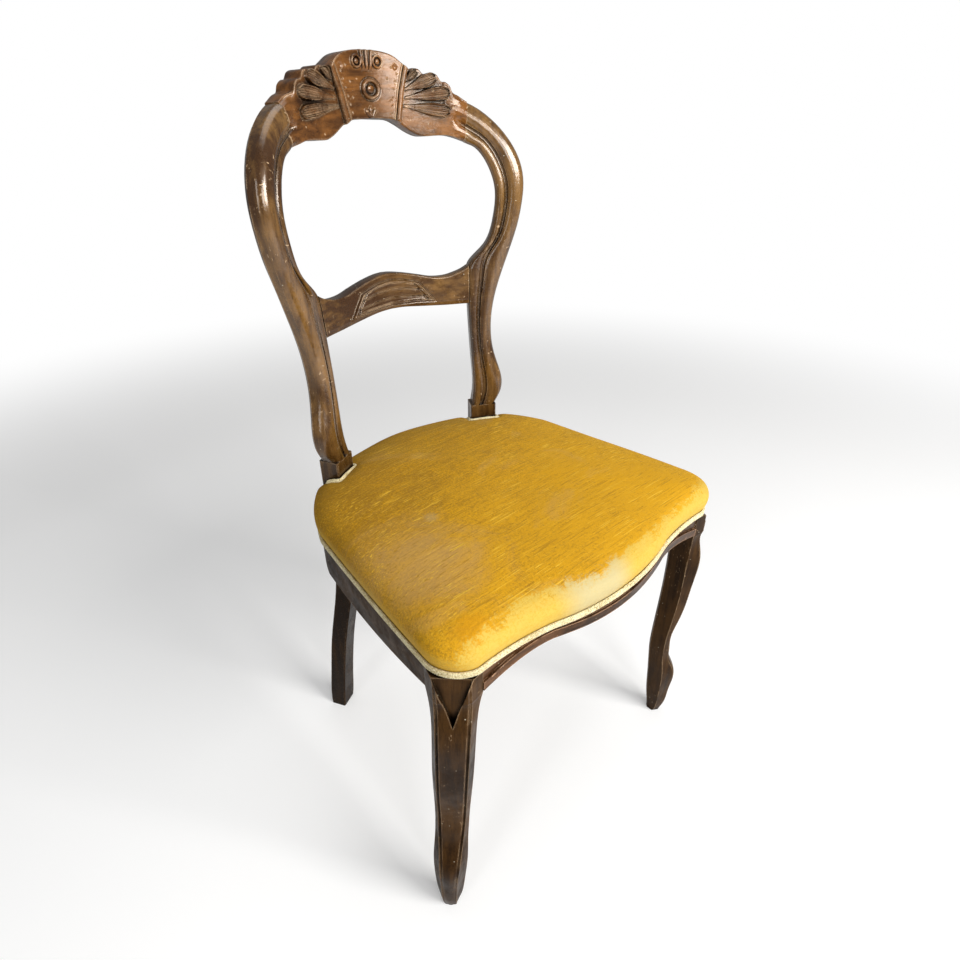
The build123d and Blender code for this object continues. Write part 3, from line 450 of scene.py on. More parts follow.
leg_wood = wood("leg_wood", LEG_TONES, "Z", wear=0.6, rough=0.36, coat=0.0, gloss=0.12,
                tint=LEG_GLOSS, worn_and_highlight=LEG_WORN)
back_wood = wood("back_wood", BACK_TONES, "Z", wear=0.85, rough=0.25, coat=0.95, gloss=0.55,
                 worn_and_highlight=BACK_WORN_AND_HIGHLIGHT, shaded_dull_foot=True)
crest_wood = wood("crest_wood", CREST_TONES, "X", wear=0.78, rough=0.22, coat=0.6, gloss=0.34,
                  worn_and_highlight=BACK_WORN_AND_HIGHLIGHT, leaves=True)
lower_wood = wood("lower_rail_wood", BACK_TONES, "X", wear=0.55, rough=0.28, coat=0.5,
                  worn_and_highlight=BACK_WORN_AND_HIGHLIGHT)
rail_wood = wood("rail_wood", RAIL_TONES, "X", wear=1.0, rough=0.34, coat=0.1, gloss=0.2,
                 tint=LEG_GLOSS, worn_and_highlight=RAIL_WORN, shade_and_dirt=0.25)
side_wood = wood("side_wood", LEG_TONES, "Y", wear=0.6, rough=0.42, coat=0.02, gloss=0.1,
                 tint=LEG_GLOSS, worn_and_highlight=LEG_WORN)
beech = wood("bare_beech", BEECH_TONES, "X", wear=0.1, rough=0.6, coat=0.0, speck=0.0)
steel = metal("old_steel", (0.42, 0.42, 0.43), (0.2, 0.12, 0.07), 0.35)
blued = metal("blued_steel", (0.06, 0.065, 0.08), (0.13, 0.07, 0.04), 0.4)
velvet_material = velvet()
webbing_material = cloth("jute_webbing", (0.2, 0.14, 0.075), (0.52, 0.41, 0.25), pitch=2.4)
hessian_material = cloth("hessian_cloth", (0.17, 0.12, 0.06), (0.44, 0.33, 0.19), pitch=1.8, turn=0.1)
braid = braid_material()


def dress(obj, material):
    """One material on every slot of a piece or a CAD node."""
    if not obj.material_slots:
        obj.data.materials.append(material)
    for entry in obj.material_slots:
        entry.link = "OBJECT"
        entry.material = material


WOOD_SLOT = "walnut_stained_wood"
NODE_LOOKS = [
    (back_wood, WOOD_SLOT, ("back_post_right", "back_post_left")),
    (leg_wood, WOOD_SLOT, ("front_leg_right", "front_leg_left")),
    (rail_wood, WOOD_SLOT, ("front_rail", "back_seat_rail")),
    (side_wood, WOOD_SLOT, ("side_rail_right", "side_rail_left")),
    (beech, "beech", [f"corner_block_{end}_{side}" for end in ("front", "rear")
                      for side in ("right", "left")]),
    (beech, "beech", [f"{joint}_dowels" for joint in ("crest", "lower_rail", "front_rail", "side_rail_front",
                                                      "side_rail_back", "back_seat_rail")]),
    (steel, "steel", ("corner_block_screws",)),
    (blued, "blued_steel", ("webbing_tacks",)),
]
for material, slot_name, node_names in NODE_LOOKS:
    for node_name in node_names:
        dress(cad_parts[node_name], material)


# ---- the hollow back
ARRIS = 2.0  # rounding of a carved board's front edges, and of its rear ones
REAR_ARRIS = 1.2


def back_surface(x, z):
    """Points of the back's front face and the unit vectors that point into the wood there."""
    h = z - BLOCK_TOP
    y = BACK_FRONT_Y + BACK_RAKE * h - BACK_BOW * h * h - BACK_RADIUS + np.sqrt(BACK_RADIUS ** 2 - x * x)
    into = np.stack([x / BACK_RADIUS, np.sqrt(1 - (x / BACK_RADIUS) ** 2), np.zeros_like(x)], -1)
    painted_light_slope = BACK_RAKE - 2 * BACK_BOW * h
    into[..., 2] = -painted_light_slope * into[..., 1]
    return np.stack([x, y, z], -1), unit(into)


def eased(edge, radius):
    """How far a rounding takes the surface back, as a share of radius, at a distance from the edge."""
    return 1 - dome(np.clip(1 - edge / radius, 0, 1))


def carved_board(name, low, high, half_length, flare, depth, relief, across, upright):
    """A board on the hollow back between two edges, half_length to each side at its foot and flare more at
    its top. relief gives the carving's height on across by upright points."""
    u, v = np.meshgrid(np.linspace(-1, 1, across), np.linspace(0, 1, upright))
    x = u * (half_length + flare * v)
    z_low, z_high = low(np.abs(x)), high(np.abs(x))
    z = z_low + (z_high - z_low) * v
    surface, into = back_surface(x, z)
    edge = np.minimum(z - z_low, z_high - z)
    front = surface - into * (relief(x, z, z_low, z_high) - ARRIS * 0.8 * eased(edge, ARRIS))[..., None]
    rear = surface + into * depth - into * (REAR_ARRIS * eased(edge, REAR_ARRIS))[..., None]
    verts = np.vstack([front.reshape(-1, 3), rear.reshape(-1, 3)])
    return new_object(name, verts, slab_faces(upright, across), sharp=50)


def edge_function(points):
    """A smooth edge line through points given as (distance from the middle, height)."""
    line = curve_through(points, 12)
    return lambda x: value_at(x, line[:, 0], line[:, 1])


# ---- crest rail
crest_low = edge_function([(0, 863.5), (14, 863), (29, 862), (40, 857), (52, 849.5), (62, 845.0), (70, 844),
                           (83, 844.5), (97, 844.5), (110, 841), (124, 835)])
crest_high = edge_function([(0, 929), (12, 928.8), (25, 927.3), (36, 924), (46, 917.5), (53, 913),
                            (60, 913.5), (67, 912.5), (73, 907.5), (80, 909.5), (88, 907.5), (93, 901),
                            (98, 900), (103, 896), (106, 889.5), (113, 886.5), (120, 882), (128, 877)])

CREST_LOBES = [  # base, tip, half width at the widest
    ((47, 899), (63.0, 911.0), 5.2),
    ((47, 892), (86.0, 905.0), 7.6),
    ((47, 884), (101.5, 889.5), 7.6),
    ((44, 876), (101.0, 870.0), 7.4),
]
LOBE_BODY, LOBE_RIM, LOBE_RIB = 2.6, 3.5, 1.4  # heights
# Section of the stile where the crest meets it: share of its width from the outside, and depth.
STILE_SHARES = np.array([0, 0.055, 0.12, 0.2, 0.28, 0.37, 0.47, 0.55, 0.59, 0.62, 0.65, 0.69, 0.75, 0.82,
                         0.89, 0.95, 1.0])
STILE_DEPTHS = np.array([11, 4.4, 1.9, 0.4, -0.8, -1.3, -0.4, 1.6, 3.6, 5.0, 4.6, 2.8, 1.2, 0.5,
                         1.2, 3.2, 8.0])
PLATE_HEIGHT = 3.3  # the plate between the slanted bars stands this proud
ORNAMENT_FOOT = 3.2  # ornament on the plate rises from here
RING_CENTRE = (1.0, 892.0)
RING_RADII = (12.6, 10.6)
ROSETTE_X = (-15.0, 13.0)
ROSETTE_Z = 918.0
ROSETTE_RADIUS = 7.2
RIBS = ((-5.6, -0.16), (-1.0, 0.0), (3.6, 0.16))  # place and slant
RIB_Z = 912.0
FAN_FOOT = (-1.5, 863.0)
FAN_ANGLES = (-0.62, 0.0, 0.62)
DOT_HEIGHTS = (868.0, 876.0, 884.0, 892.0, 900.0, 907.0)
LONE_DOTS = [(25.0, 902.0), (-26.0, 899.0), (27.5, 881.0), (-24.0, 884.0), (-30.0, 914.0), (31.0, 913.0)]
NICKS = ((-37.0, 913.5), (36.0, 913.5))


def lobe_height(ax, z, base, tip, half):
    """A carved leaf lobe: two raised rims round a hollow, closed by a rounded tip."""
    length = math.hypot(tip[0] - base[0], tip[1] - base[1])
    dx, dz = (tip[0] - base[0]) / length, (tip[1] - base[1]) / length
    s = (ax - base[0]) * dx + (z - base[1]) * dz
    t = -(ax - base[0]) * dz + (z - base[1]) * dx
    share = np.clip(s / length, 0, 1)
    width = half * (0.22 + 0.78 * smoothstep(0.0, 0.72, share))
    width = width * dome(np.clip((s - (length - half)) / half, 0, 1))
    inside = np.clip(1 - np.abs(t) / np.maximum(width, 0.01), 0, 1)
    inside = np.where((s < 0) | (s > length), 0, inside)
    body = smoothstep(0.0, 0.16, inside)
    rim = ridge(inside - 0.2, 0.13)
    ribs = 0.9 * ridge(inside - 1.0, 0.13) + 0.5 * ridge(inside - 0.62, 0.09)
    return (body * LOBE_BODY + rim * LOBE_RIM + ribs * LOBE_RIB) * (0.3 + 0.7 * smoothstep(0.05, 0.8, share))


def bar_line(z):
    """Distance from the middle to the centre of a slanted bar."""
    return np.interp(z, [860, 890, 910, 930], [34.3, 41.0, 47.5, 55.0])


def laid_on(height, shape, foot, rise):
    """height with a form on it that stands foot + rise * shape high where shape is above 0."""
    return np.maximum(height, np.where(shape > 0, foot + rise * shape, -9))


def pit(x, z, place, radius):
    """A round hollow, 1 deep."""
    r = np.hypot(x - place[0], z - place[1]) / radius
    return np.clip(1 - r * r, 0, 1)


def side_carving(ax, z, z_low, outside):
    """The rail beyond the bars: a cove along its foot, the leaves, and a wedge that trails from them."""
    step = np.interp(ax, [38, 52, 70, 95, 124], [872, 868, 862, 861.5, 853])
    down = (step - z) / np.maximum(step - z_low, 1)
    height = -smoothstep(0.0, 0.07, down) * (3.6 - 2.4 * smoothstep(0.3, 0.95, down)) * outside
    for base, tip, half in CREST_LOBES:
        height = np.maximum(height, lobe_height(ax, z, base, tip, half) * outside)
    wedge = smoothstep(0.0, 1.5, z - np.interp(ax, [90, 116], [869, 878])) * smoothstep(118, 98, ax)
    return np.maximum(height, 1.1 * wedge * smoothstep(92, 97, ax))


def plate_carving(height, x, z):
    """A ring with a boss, two rosettes with ribs between them, a fan, rows of dots and two nicks."""
    r = np.hypot((x - RING_CENTRE[0]) / RING_RADII[0], (z - RING_CENTRE[1]) / RING_RADII[1])
    height = laid_on(height, dome((r - 0.8) / 0.2), ORNAMENT_FOOT, 3.2)
    height = laid_on(height, dome(r / 0.4), 3.0, 1.8)
    height -= 0.9 * ridge(r - 0.53, 0.09) + 0.7 * ridge(r - 1.06, 0.07)
    for cx in ROSETTE_X:
        q = np.hypot(x - cx, (z - ROSETTE_Z) * 1.05) / ROSETTE_RADIUS
        height = laid_on(height, dome((q - 0.8) / 0.2), ORNAMENT_FOOT, 1.9)
        height = laid_on(height, dome(q / 0.46), ORNAMENT_FOOT, 2.0)
        height -= 0.6 * ridge(q - 0.55, 0.07)
    for cx, slant in RIBS:
        rib = dome((x - cx - slant * (z - RIB_Z)) / 2.1) * smoothstep(RIB_Z - 3.0, RIB_Z + 1.5, z)
        height = laid_on(height, rib, ORNAMENT_FOOT, 2.0)
    for angle in FAN_ANGLES:
        along = (x - FAN_FOOT[0]) * math.sin(angle) + (z - FAN_FOOT[1]) * math.cos(angle)
        aside = (x - FAN_FOOT[0]) * math.cos(angle) - (z - FAN_FOOT[1]) * math.sin(angle)
        petal = 1 - (aside / (1.5 + 0.1 * np.clip(along, 0, 12))) ** 2 - ((along - 6.0) / 6.5) ** 4
        height = laid_on(height, np.sqrt(np.clip(petal, 0, 1)), 3.0, 1.7)
    dots = list(LONE_DOTS)
    for dz in DOT_HEIGHTS:
        beside = float(bar_line(dz)) - 9.0
        dots += [(beside, dz), (-beside, dz + 1.5)]
    for dot in dots:
        height -= 0.8 * pit(x, z, dot, 1.15)
    for nick in NICKS:
        height -= 1.3 * pit(x, z, nick, 3.4)
    return height


def crest_relief(x, z, z_low, z_high):
    ax = np.abs(x)
    t = ax - bar_line(z)
    height = side_carving(ax, z, z_low, smoothstep(3.0, 5.0, t))
    plate = smoothstep(1.0, -1.0, t + 4.0)
    hollow = 0.6 * (1 - (ax / 42.0) ** 2)
    height = height * (1 - plate) + plate * (PLATE_HEIGHT - hollow)
    # The slanted bars: a round bead with a narrow fillet on the plate side.
    height = laid_on(height, dome((t - 0.6) / 3.2), 3.6, 2.4)
    height = laid_on(height, dome((t + 4.3) / 1.3), ORNAMENT_FOOT, 0.9)
    height = plate_carving(height, x, z)
    # Towards its ends the rail takes over the stile's rounded band, groove and bead.
    across = (z_high - z) / np.maximum(z_high - z_low, 1)
    stile_form = -np.minimum(np.interp(across, STILE_SHARES, STILE_DEPTHS), 6.0)
    blend = smoothstep(103.0, 118.0, ax)
    return height * (1 - blend) + stile_form * blend


crest = carved_board("carved_crest", crest_low, crest_high, half_length=118.0, flare=4.6, depth=CREST_DEPTH,
                     relief=crest_relief, across=540, upright=170)
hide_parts("crest_rail")
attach(crest, "root")
dress(crest, crest_wood)

# ---- lower back rail
lower_low = edge_function([(0, 646), (20, 645), (46, 642), (66, 640), (88, 638.5), (124, 637.5)])
lower_high = edge_function([(0, 691.5), (12, 690.5), (30, 687), (50, 682), (68, 677.5), (85, 677), (98, 680),
                            (108, 684), (118, 690.5), (124, 695)])


def lower_relief(x, z, z_low, z_high):
    """A sunk panel in a beaded frame, with two flutes along it and a cut across each end."""
    ax = np.abs(x)
    low_edge = np.interp(ax, [0, 40, 66], [651.5, 649.5, 647.0])
    high_edge = np.interp(ax, [0, 20, 46], [682.5, 680.5, 673.5])
    slant = np.interp(z, [647, 674], [66.0, 45.0])
    inside = np.minimum(np.minimum(z - low_edge, high_edge - z), (slant - ax) * 0.8)
    within = smoothstep(2.8, 3.8, inside)
    height = 2.7 * ridge(inside - 1.8, 1.5) - 1.0 - 0.8 * ridge(inside + 0.9, 0.8) + 1.3 * within
    share = (z - low_edge) / (high_edge - low_edge)
    for flute in (0.3, 0.66):
        height -= 1.1 * within * ridge(share - flute, 0.03)
    height -= 1.5 * smoothstep(1, 3, inside) * ridge(slant - ax - 8.0, 1.3)
    # The rail sinks towards its ends and keeps a rounded lower arris.
    return height - 1.2 * smoothstep(80, 112, ax) - 1.2 * smoothstep(7.0, 0.0, z - z_low)


lower = carved_board("carved_lower_rail", lower_low, lower_high, half_length=112.6, flare=2.4,
                     depth=LOWER_DEPTH, relief=lower_relief, across=420, upright=110)
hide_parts("lower_back_rail")
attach(lower, "root")
dress(lower, lower_wood)

# ---- seat outline in plan
OUTLINE_STEP = 2.0  # about this far apart along the outline
post_back = np.array([math.sin(POST_ANGLE), math.cos(POST_ANGLE)])
post_out = np.array([math.cos(POST_ANGLE), -math.sin(POST_ANGLE)])
REAR_CENTRE = np.array([0.0, BACK_FRONT_Y - BACK_RADIUS])
REAR_RADIUS = BACK_RADIUS + POST_DEPTH
post_middle = REAR_CENTRE + post_back * BACK_RADIUS  # middle of the right block's front face
block_middle = post_middle + post_back * POST_DEPTH / 2
front_outer = post_middle + post_out * POST_WIDTH / 2
front_inner = post_middle - post_out * POST_WIDTH / 2
back_outer = front_outer + post_back * POST_DEPTH
back_inner = front_inner + post_back * POST_DEPTH
SIDE_BACK = np.array([199.0, 82.0])
SIDE_FRONT = np.array([226.0, -152.0])
CORNER = (217.5, -183.0)  # the front corner, between the side and the hollow beside it
HOLLOW = np.array([196.0, -196.0])
BELLY = np.array([98.0, -203.5])
BELLY_TOP = np.array([0.0, -218.0])
SEAT_MIDDLE = np.array([0.0, (BELLY_TOP[1] + REAR_CENTRE[1] + REAR_RADIUS) / 2])


def arc_points(a, m, b):
    """Points of the arc from a through m to b, without the last."""
    (ax, ay), (bx, by), (cx, cy) = a, m, b
    aa, bb, cc = ax ** 2 + ay ** 2, bx ** 2 + by ** 2, cx ** 2 + cy ** 2
    d = 2 * (ax * (by - cy) + bx * (cy - ay) + cx * (ay - by))
    ux = (aa * (by - cy) + bb * (cy - ay) + cc * (ay - by)) / d
    uy = (aa * (cx - bx) + bb * (ax - cx) + cc * (bx - ax)) / d
    r = math.hypot(ax - ux, ay - uy)
    at_a, at_m, at_b = (math.atan2(p[1] - uy, p[0] - ux) for p in (a, m, b))
    turn = (at_b - at_a) % (2 * math.pi)
    if (at_m - at_a) % (2 * math.pi) > turn:
        turn -= 2 * math.pi
    count = max(2, int(round(abs(turn) * r / OUTLINE_STEP)))
    angles = at_a + turn * np.arange(count) / count
    return np.stack([ux + r * np.cos(angles), uy + r * np.sin(angles)], 1)


def straight(a, b):
    """Points of the line from a to b, without the last."""
    count = max(2, int(round(np.linalg.norm(np.array(b) - a) / OUTLINE_STEP)))
    t = np.arange(count)[:, None] / count
    return np.array(a) * (1 - t) + np.array(b) * t


right_side = np.vstack([
    arc_points(back_outer, 0.5 * (back_outer + SIDE_BACK) + (4.5, 3.5), SIDE_BACK),
    arc_points(SIDE_BACK, 0.5 * (SIDE_BACK + SIDE_FRONT) + (1.5, 0), SIDE_FRONT),
    arc_points(SIDE_FRONT, CORNER, HOLLOW),
    arc_points(HOLLOW, (147.0, -196.5), BELLY),
    arc_points(BELLY, (50.0, -214.4), BELLY_TOP),
])
FLIP = np.array([-1.0, 1.0])
front_half = np.vstack([right_side, [BELLY_TOP], (right_side * FLIP)[::-1]])  # right post round to left post
rear_edge = arc_points(back_inner * FLIP, REAR_CENTRE + (0, REAR_RADIUS), back_inner)
rear_edge = np.vstack([rear_edge, [back_inner]])
full_outline = np.vstack([front_half, rear_edge])


def drawn_in(points, share):
    return SEAT_MIDDLE + (points - SEAT_MIDDLE) * share


def square_to(tangent, outward):
    """Unit vectors square to tangent in plan, on the side that outward points to."""
    across = np.stack([-tangent[:, 1], tangent[:, 0]], 1)
    return unit(across * np.sign(np.sum(across * outward, 1))[:, None])


def angle_of(p):
    d = np.atleast_2d(p) - SEAT_MIDDLE
    return np.arctan2(d[:, 1], d[:, 0])


def outline_radius(angle):
    """Distance from the seat's middle to its whole outline in a direction."""
    radii = np.linalg.norm(full_outline - SEAT_MIDDLE, axis=1)
    return value_at(angle, angle_of(full_outline), radii, period=2 * math.pi)


def post_distance(p):
    """Distance in plan from p to the nearer post block, below 0 inside it."""
    q = np.stack([np.abs(p[..., 0]), p[..., 1]], -1) - block_middle
    u = np.abs(q @ post_out) - POST_WIDTH / 2
    v = np.abs(q @ post_back) - POST_DEPTH / 2
    return np.hypot(np.maximum(u, 0), np.maximum(v, 0)) + np.minimum(np.maximum(u, v), 0)


# ---- velvet seat
SEAT_PROFILE = np.array([  # height above GIMP_TOP, outward swell, share of the outline's radius
    (-5.0, -0.4, 1.0), (-1.0, -0.2, 1.0), (1.0, 0.5, 1.0), (4.0, 2.0, 1.0), (8.0, 3.7, 1.0), (13.0, 4.9, 1.0),
    (18.0, 5.0, 1.0), (23.0, 3.8, 1.0), (27.5, 1.5, 0.999), (31.0, 0.0, 0.988), (34.0, 0.0, 0.967),
    (36.5, 0.0, 0.94), (38.7, 0.0, 0.905), (40.8, 0.0, 0.86), (42.8, 0.0, 0.81), (44.6, 0.0, 0.75),
    (46.2, 0.0, 0.68), (47.6, 0.0, 0.6), (48.8, 0.0, 0.51), (49.8, 0.0, 0.41), (50.5, 0.0, 0.3),
    (50.9, 0.0, 0.2), (51.1, 0.0, 0.1),
])
profile = curve_through(SEAT_PROFILE, 3)
CROWN = 51.2  # heights above GIMP_TOP of the middle of the cover's top and of its hidden floor
COVER_FLOOR = 15.2
HEM = ((2.3, -5.0), (2.5, 8.0), (2.9, 15.0))  # inset and height where the cover turns in below
FLOOR_SHARES = (0.8, 0.5, 0.2)
NOTCH_GAP = 0.7  # between the cover and a post
PULL_DEPTH = 4.5  # the cover dips this much against a post, and within about this distance of it
PULL_REACH = 9.5
EVENED_OVER = 22.0  # columns over which the rings on top are evened out
HELD_RINGS = 8  # rings of the profile that the simulation leaves where they are
PUFF_LIMIT = 0.0035  # metres


def post_corners(gap):
    """The outer and inner front corner of the right block, gap outside it."""
    return front_outer + post_out * gap - post_back * gap, front_inner - post_out * gap - post_back * gap


def seat_loop():
    """The cover's outline with its notches round the posts: points, and where a post cuts in."""
    outer_corner, inner_corner = post_corners(NOTCH_GAP)
    mouth_outer = front_half[4]
    mouth_inner = back_inner - post_out * 2.4
    right_notch = np.vstack([straight(mouth_inner, inner_corner), straight(inner_corner, outer_corner),
                             straight(outer_corner, mouth_outer)])
    left_notch = (np.vstack([right_notch[1:], [mouth_outer]]) * FLIP)[::-1]
    body = front_half[4:-4]
    rear = arc_points(mouth_inner * FLIP, REAR_CENTRE + (0, REAR_RADIUS), mouth_inner)
    cut = np.concatenate([np.zeros(len(body)), np.ones(len(left_notch)), np.zeros(len(rear)),
                          np.ones(len(right_notch))])
    return np.vstack([body, left_notch, rear, right_notch]), cut


loop, cut = seat_loop()
columns = len(loop)
reach = np.linalg.norm(loop - SEAT_MIDDLE, axis=1)
whole = np.maximum(outline_radius(angle_of(loop)), reach)
limit = np.where(cut > 0, reach / whole, 1.0)
outward = (loop - SEAT_MIDDLE) / reach[:, None]
square_out = square_to(np.roll(loop, -1, 0) - np.roll(loop, 1, 0), outward)
swell_share = np.where(cut > 0, 0.0, smoothstep(0.0, 14.0, post_distance(loop)))


def seat_height(p, z):
    """The stuffing is pulled down where the cover is dressed round the posts, and lies a little uneven."""
    pull = PULL_DEPTH * ridge(np.maximum(post_distance(p), 0), PULL_REACH)
    lumps = 0.7 * np.sin(p[..., 0] / 37.0 + 1.1) * np.sin(p[..., 1] / 29.0 + 0.4)
    lumps += 0.5 * np.sin(p[..., 0] / 19.0 + p[..., 1] / 23.0)
    above = smoothstep(GIMP_TOP + 8, GIMP_TOP + 36, z)
    return z - above * pull + above * lumps


def evened(points, width):
    """Points of a closed ring, spread evenly over a width of some columns."""
    keep = np.exp(-2 * (math.pi * width * np.fft.rfftfreq(len(points))) ** 2)
    return np.fft.irfft(np.fft.rfft(points, axis=0) * keep[:, None], len(points), axis=0)


rings = []
for height, swell, share in profile:
    radius = np.minimum(share, limit) * whole
    p = SEAT_MIDDLE + outward * radius[:, None] + square_out * (swell * swell_share)[:, None]
    p = evened(p, EVENED_OVER * float(smoothstep(0.905, 0.62, share)))
    rings.append(lifted(p, seat_height(p, np.full(columns, GIMP_TOP + height))))
under = [lifted(loop - square_out * inset, GIMP_TOP + height) for inset, height in HEM]
under += [lifted(drawn_in(loop, share), GIMP_TOP + COVER_FLOOR) for share in FLOOR_SHARES]
stack = under[::-1] + rings
faces = grid_faces(len(stack), columns, wrap=True)
top_centre = len(stack) * columns
top_ring = top_centre - columns
faces += [(top_ring + c, top_ring + (c + 1) % columns, top_centre) for c in range(columns)]
faces += [((c + 1) % columns, c, top_centre + 1) for c in range(columns)]
verts = np.vstack(stack + [[[*SEAT_MIDDLE, GIMP_TOP + CROWN], [*SEAT_MIDDLE, GIMP_TOP + COVER_FLOOR]]])
seat = new_object("velvet_seat", verts, faces, sharp=0)


def puff(obj, held, cap):
    """Blow the cover up a little with cloth simulation; no point moves further than cap metres."""
    start = np.array([v.co[:] for v in obj.data.vertices])
    group = obj.vertex_groups.new(name="held")
    for index, weight in enumerate(held):
        if weight > 0:
            group.add([index], float(weight), "REPLACE")
    modifier = obj.modifiers.new("cloth", "CLOTH")
    settings = modifier.settings
    settings.use_pressure = True
    settings.uniform_pressure_force = 4.0
    settings.effector_weights.gravity = 0
    settings.vertex_group_mass = group.name
    settings.tension_stiffness = 40
    settings.compression_stiffness = 40
    settings.bending_stiffness = 4
    scene = bpy.context.scene
    for f in range(1, 21):
        scene.frame_set(f)
    evaluated = obj.evaluated_get(bpy.context.evaluated_depsgraph_get())
    moved = np.array([v.co[:] for v in evaluated.to_mesh().vertices]) - start
    evaluated.to_mesh_clear()
    obj.modifiers.remove(modifier)
    obj.vertex_groups.remove(group)
    length = np.linalg.norm(moved, axis=1)
    share = np.where(length > 0, cap * np.tanh(length / cap) / np.maximum(length, 1e-9), 0)
    obj.data.vertices.foreach_set("co", (start + moved * share[:, None]).ravel())
    obj.data.update()
    scene.frame_set(1)


held = np.ones(len(verts))
first_free = len(under) + HELD_RINGS
for k in range(first_free, len(stack)):
    free_of_posts = smoothstep(0.0, 30.0, post_distance(stack[k][:, :2]))
    held[k * columns:(k + 1) * columns] = 1.0 - free_of_posts * min(1.0, (k - first_free + 1) / 8.0)
held[top_centre] = 0.0
puff(seat, held, PUFF_LIMIT)
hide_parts("velvet_cover", "seat_stuffing")
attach(seat, "root")
dress(seat, velvet_material)

# ---- braid
BRAID_Z = 0.5 * (GIMP_TOP + GIMP_BOTTOM) + 0.7
BRAID_PROUD = 2.0
COLLAR_GAP = 3.6  # from a post to the middle of the braid round its foot
COLLAR_EASING = 6  # rounds that ease its corners
PLAIT_LENGTH = 6.6  # the pattern repeats after this
PLAIT_SAMPLES = 12
STRAND_SIDES = 6


def plait(name, path, facing, across, half_width=2.9, strand=1.35, lift=0.95):
    """Three strands plaited along a path. facing points out of the braid, across runs over its width."""
    seg = np.linalg.norm(np.diff(path, axis=0), axis=1)
    run = np.concatenate([[0], np.cumsum(seg)])
    count = int(run[-1] / PLAIT_LENGTH * PLAIT_SAMPLES)
    s = np.linspace(0, run[-1], count)

    def along(values):
        return np.column_stack([np.interp(s, run, values[:, k]) for k in range(3)])

    centre, out, side = along(path), unit(along(facing)), unit(along(across))
    verts, faces = [], []
    for m in range(3):
        phase = 2 * math.pi * (s / PLAIT_LENGTH + m / 3.0)
        line = centre + side * (half_width * np.sin(phase))[:, None]
        line = line + out * (lift * np.sin(2 * phase))[:, None]
        ahead = unit(np.gradient(line, axis=0))
        wide = unit(np.cross(ahead, out))
        deep = np.cross(ahead, wide)
        angles = [2 * math.pi * k / STRAND_SIDES for k in range(STRAND_SIDES)]
        ring = [line + wide * (strand * math.cos(a)) + deep * (0.8 * strand * math.sin(a)) for a in angles]
        verts.append(np.stack(ring, 1).reshape(-1, 3))
        start = m * count * STRAND_SIDES
        end = start + (count - 1) * STRAND_SIDES
        faces += grid_faces(count, STRAND_SIDES, start, wrap=True)
        faces.append(tuple(start + k for k in range(STRAND_SIDES - 1, -1, -1)))
        faces.append(tuple(end + k for k in range(STRAND_SIDES)))
    return new_object(name, np.vstack(verts), faces, sharp=0)


def outline_frames(points):
    """Path, outward and upward directions of a braid laid along points of the outline."""
    out = square_to(np.gradient(points, axis=0), points - SEAT_MIDDLE)
    return lifted(points + out * BRAID_PROUD, BRAID_Z), lifted(out, 0.1), lifted(np.zeros_like(points), 1.0)


def surface_z(p):
    """Height of the cover's upper surface over a plan point near the posts."""
    d = p - SEAT_MIDDLE
    share = np.linalg.norm(d, axis=-1) / outline_radius(np.arctan2(d[..., 1], d[..., 0]))
    z = np.interp(share, profile[::-1, 2], profile[::-1, 0]) + GIMP_TOP
    return seat_height(p, z)


def collar(name, side):
    """Braid taken up from the rail and round the foot of the right post, or of the left if side is -1."""
    mirror = np.array([side, 1.0])
    outer_corner, inner_corner = post_corners(COLLAR_GAP)
    outer_end = front_outer + post_out * (COLLAR_GAP + 0.8) + post_back * (POST_DEPTH - 1)
    inner_end = front_inner - post_out * COLLAR_GAP + post_back * (POST_DEPTH - 2)
    plan = np.vstack([straight(outer_end, outer_corner), straight(outer_corner, inner_corner),
                      straight(inner_corner, inner_end), [inner_end]])
    for _ in range(COLLAR_EASING):
        plan[1:-1] = 0.25 * plan[:-2] + 0.5 * plan[1:-1] + 0.25 * plan[2:]
    low = BRAID_Z + 6
    from_end = np.minimum(np.arange(len(plan)), np.arange(len(plan))[::-1]) * 2.0
    z = low + (surface_z(plan) + 0.6 - low) * smoothstep(-4.0, 11.0, from_end)
    away = unit(plan - block_middle)
    facing, across = lifted(away * mirror * 0.55, 0.85), lifted(away * mirror * 0.85, -0.55)
    return plait(name, lifted(plan * mirror, z), facing, across, half_width=1.9, strand=1.25, lift=0.6)


gimp_parts = [plait("braid_front", *outline_frames(front_half[2:-2])),
              plait("braid_rear", *outline_frames(rear_edge[1:-1])),
              collar("braid_collar_right", 1.0), collar("braid_collar_left", -1.0)]
for part in gimp_parts:
    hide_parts("gimp_braid")
    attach(part, "root")
    dress(part, braid)

# ---- webbing and hessian
WEB = 50.0
WEB_THICK = 1.1
WEB_SAG = 0.4
WEBS_X = (-74.0, 0.0, 74.0)
WEBS_Y = (-105.0, -30.0, 45.0)
WEB_INSET = 9.0  # from the outline to a web's ends, at the front and rear and at the sides
WEB_SIDE_INSET = 8.0
LONG_WEB_Z = RAIL_TOP + 0.6
CROSS_WEB_Z = RAIL_TOP + 1.8
HESSIAN_Z = RAIL_TOP + 3.8
HESSIAN_THICK = 0.8
HESSIAN_SHARE = 1 - 9.0 / 215.0  # 9 mm inside the outline, which is about 215 mm from the middle
HESSIAN_RINGS = (1.0, 0.85, 0.65, 0.45, 0.25, 0.08)


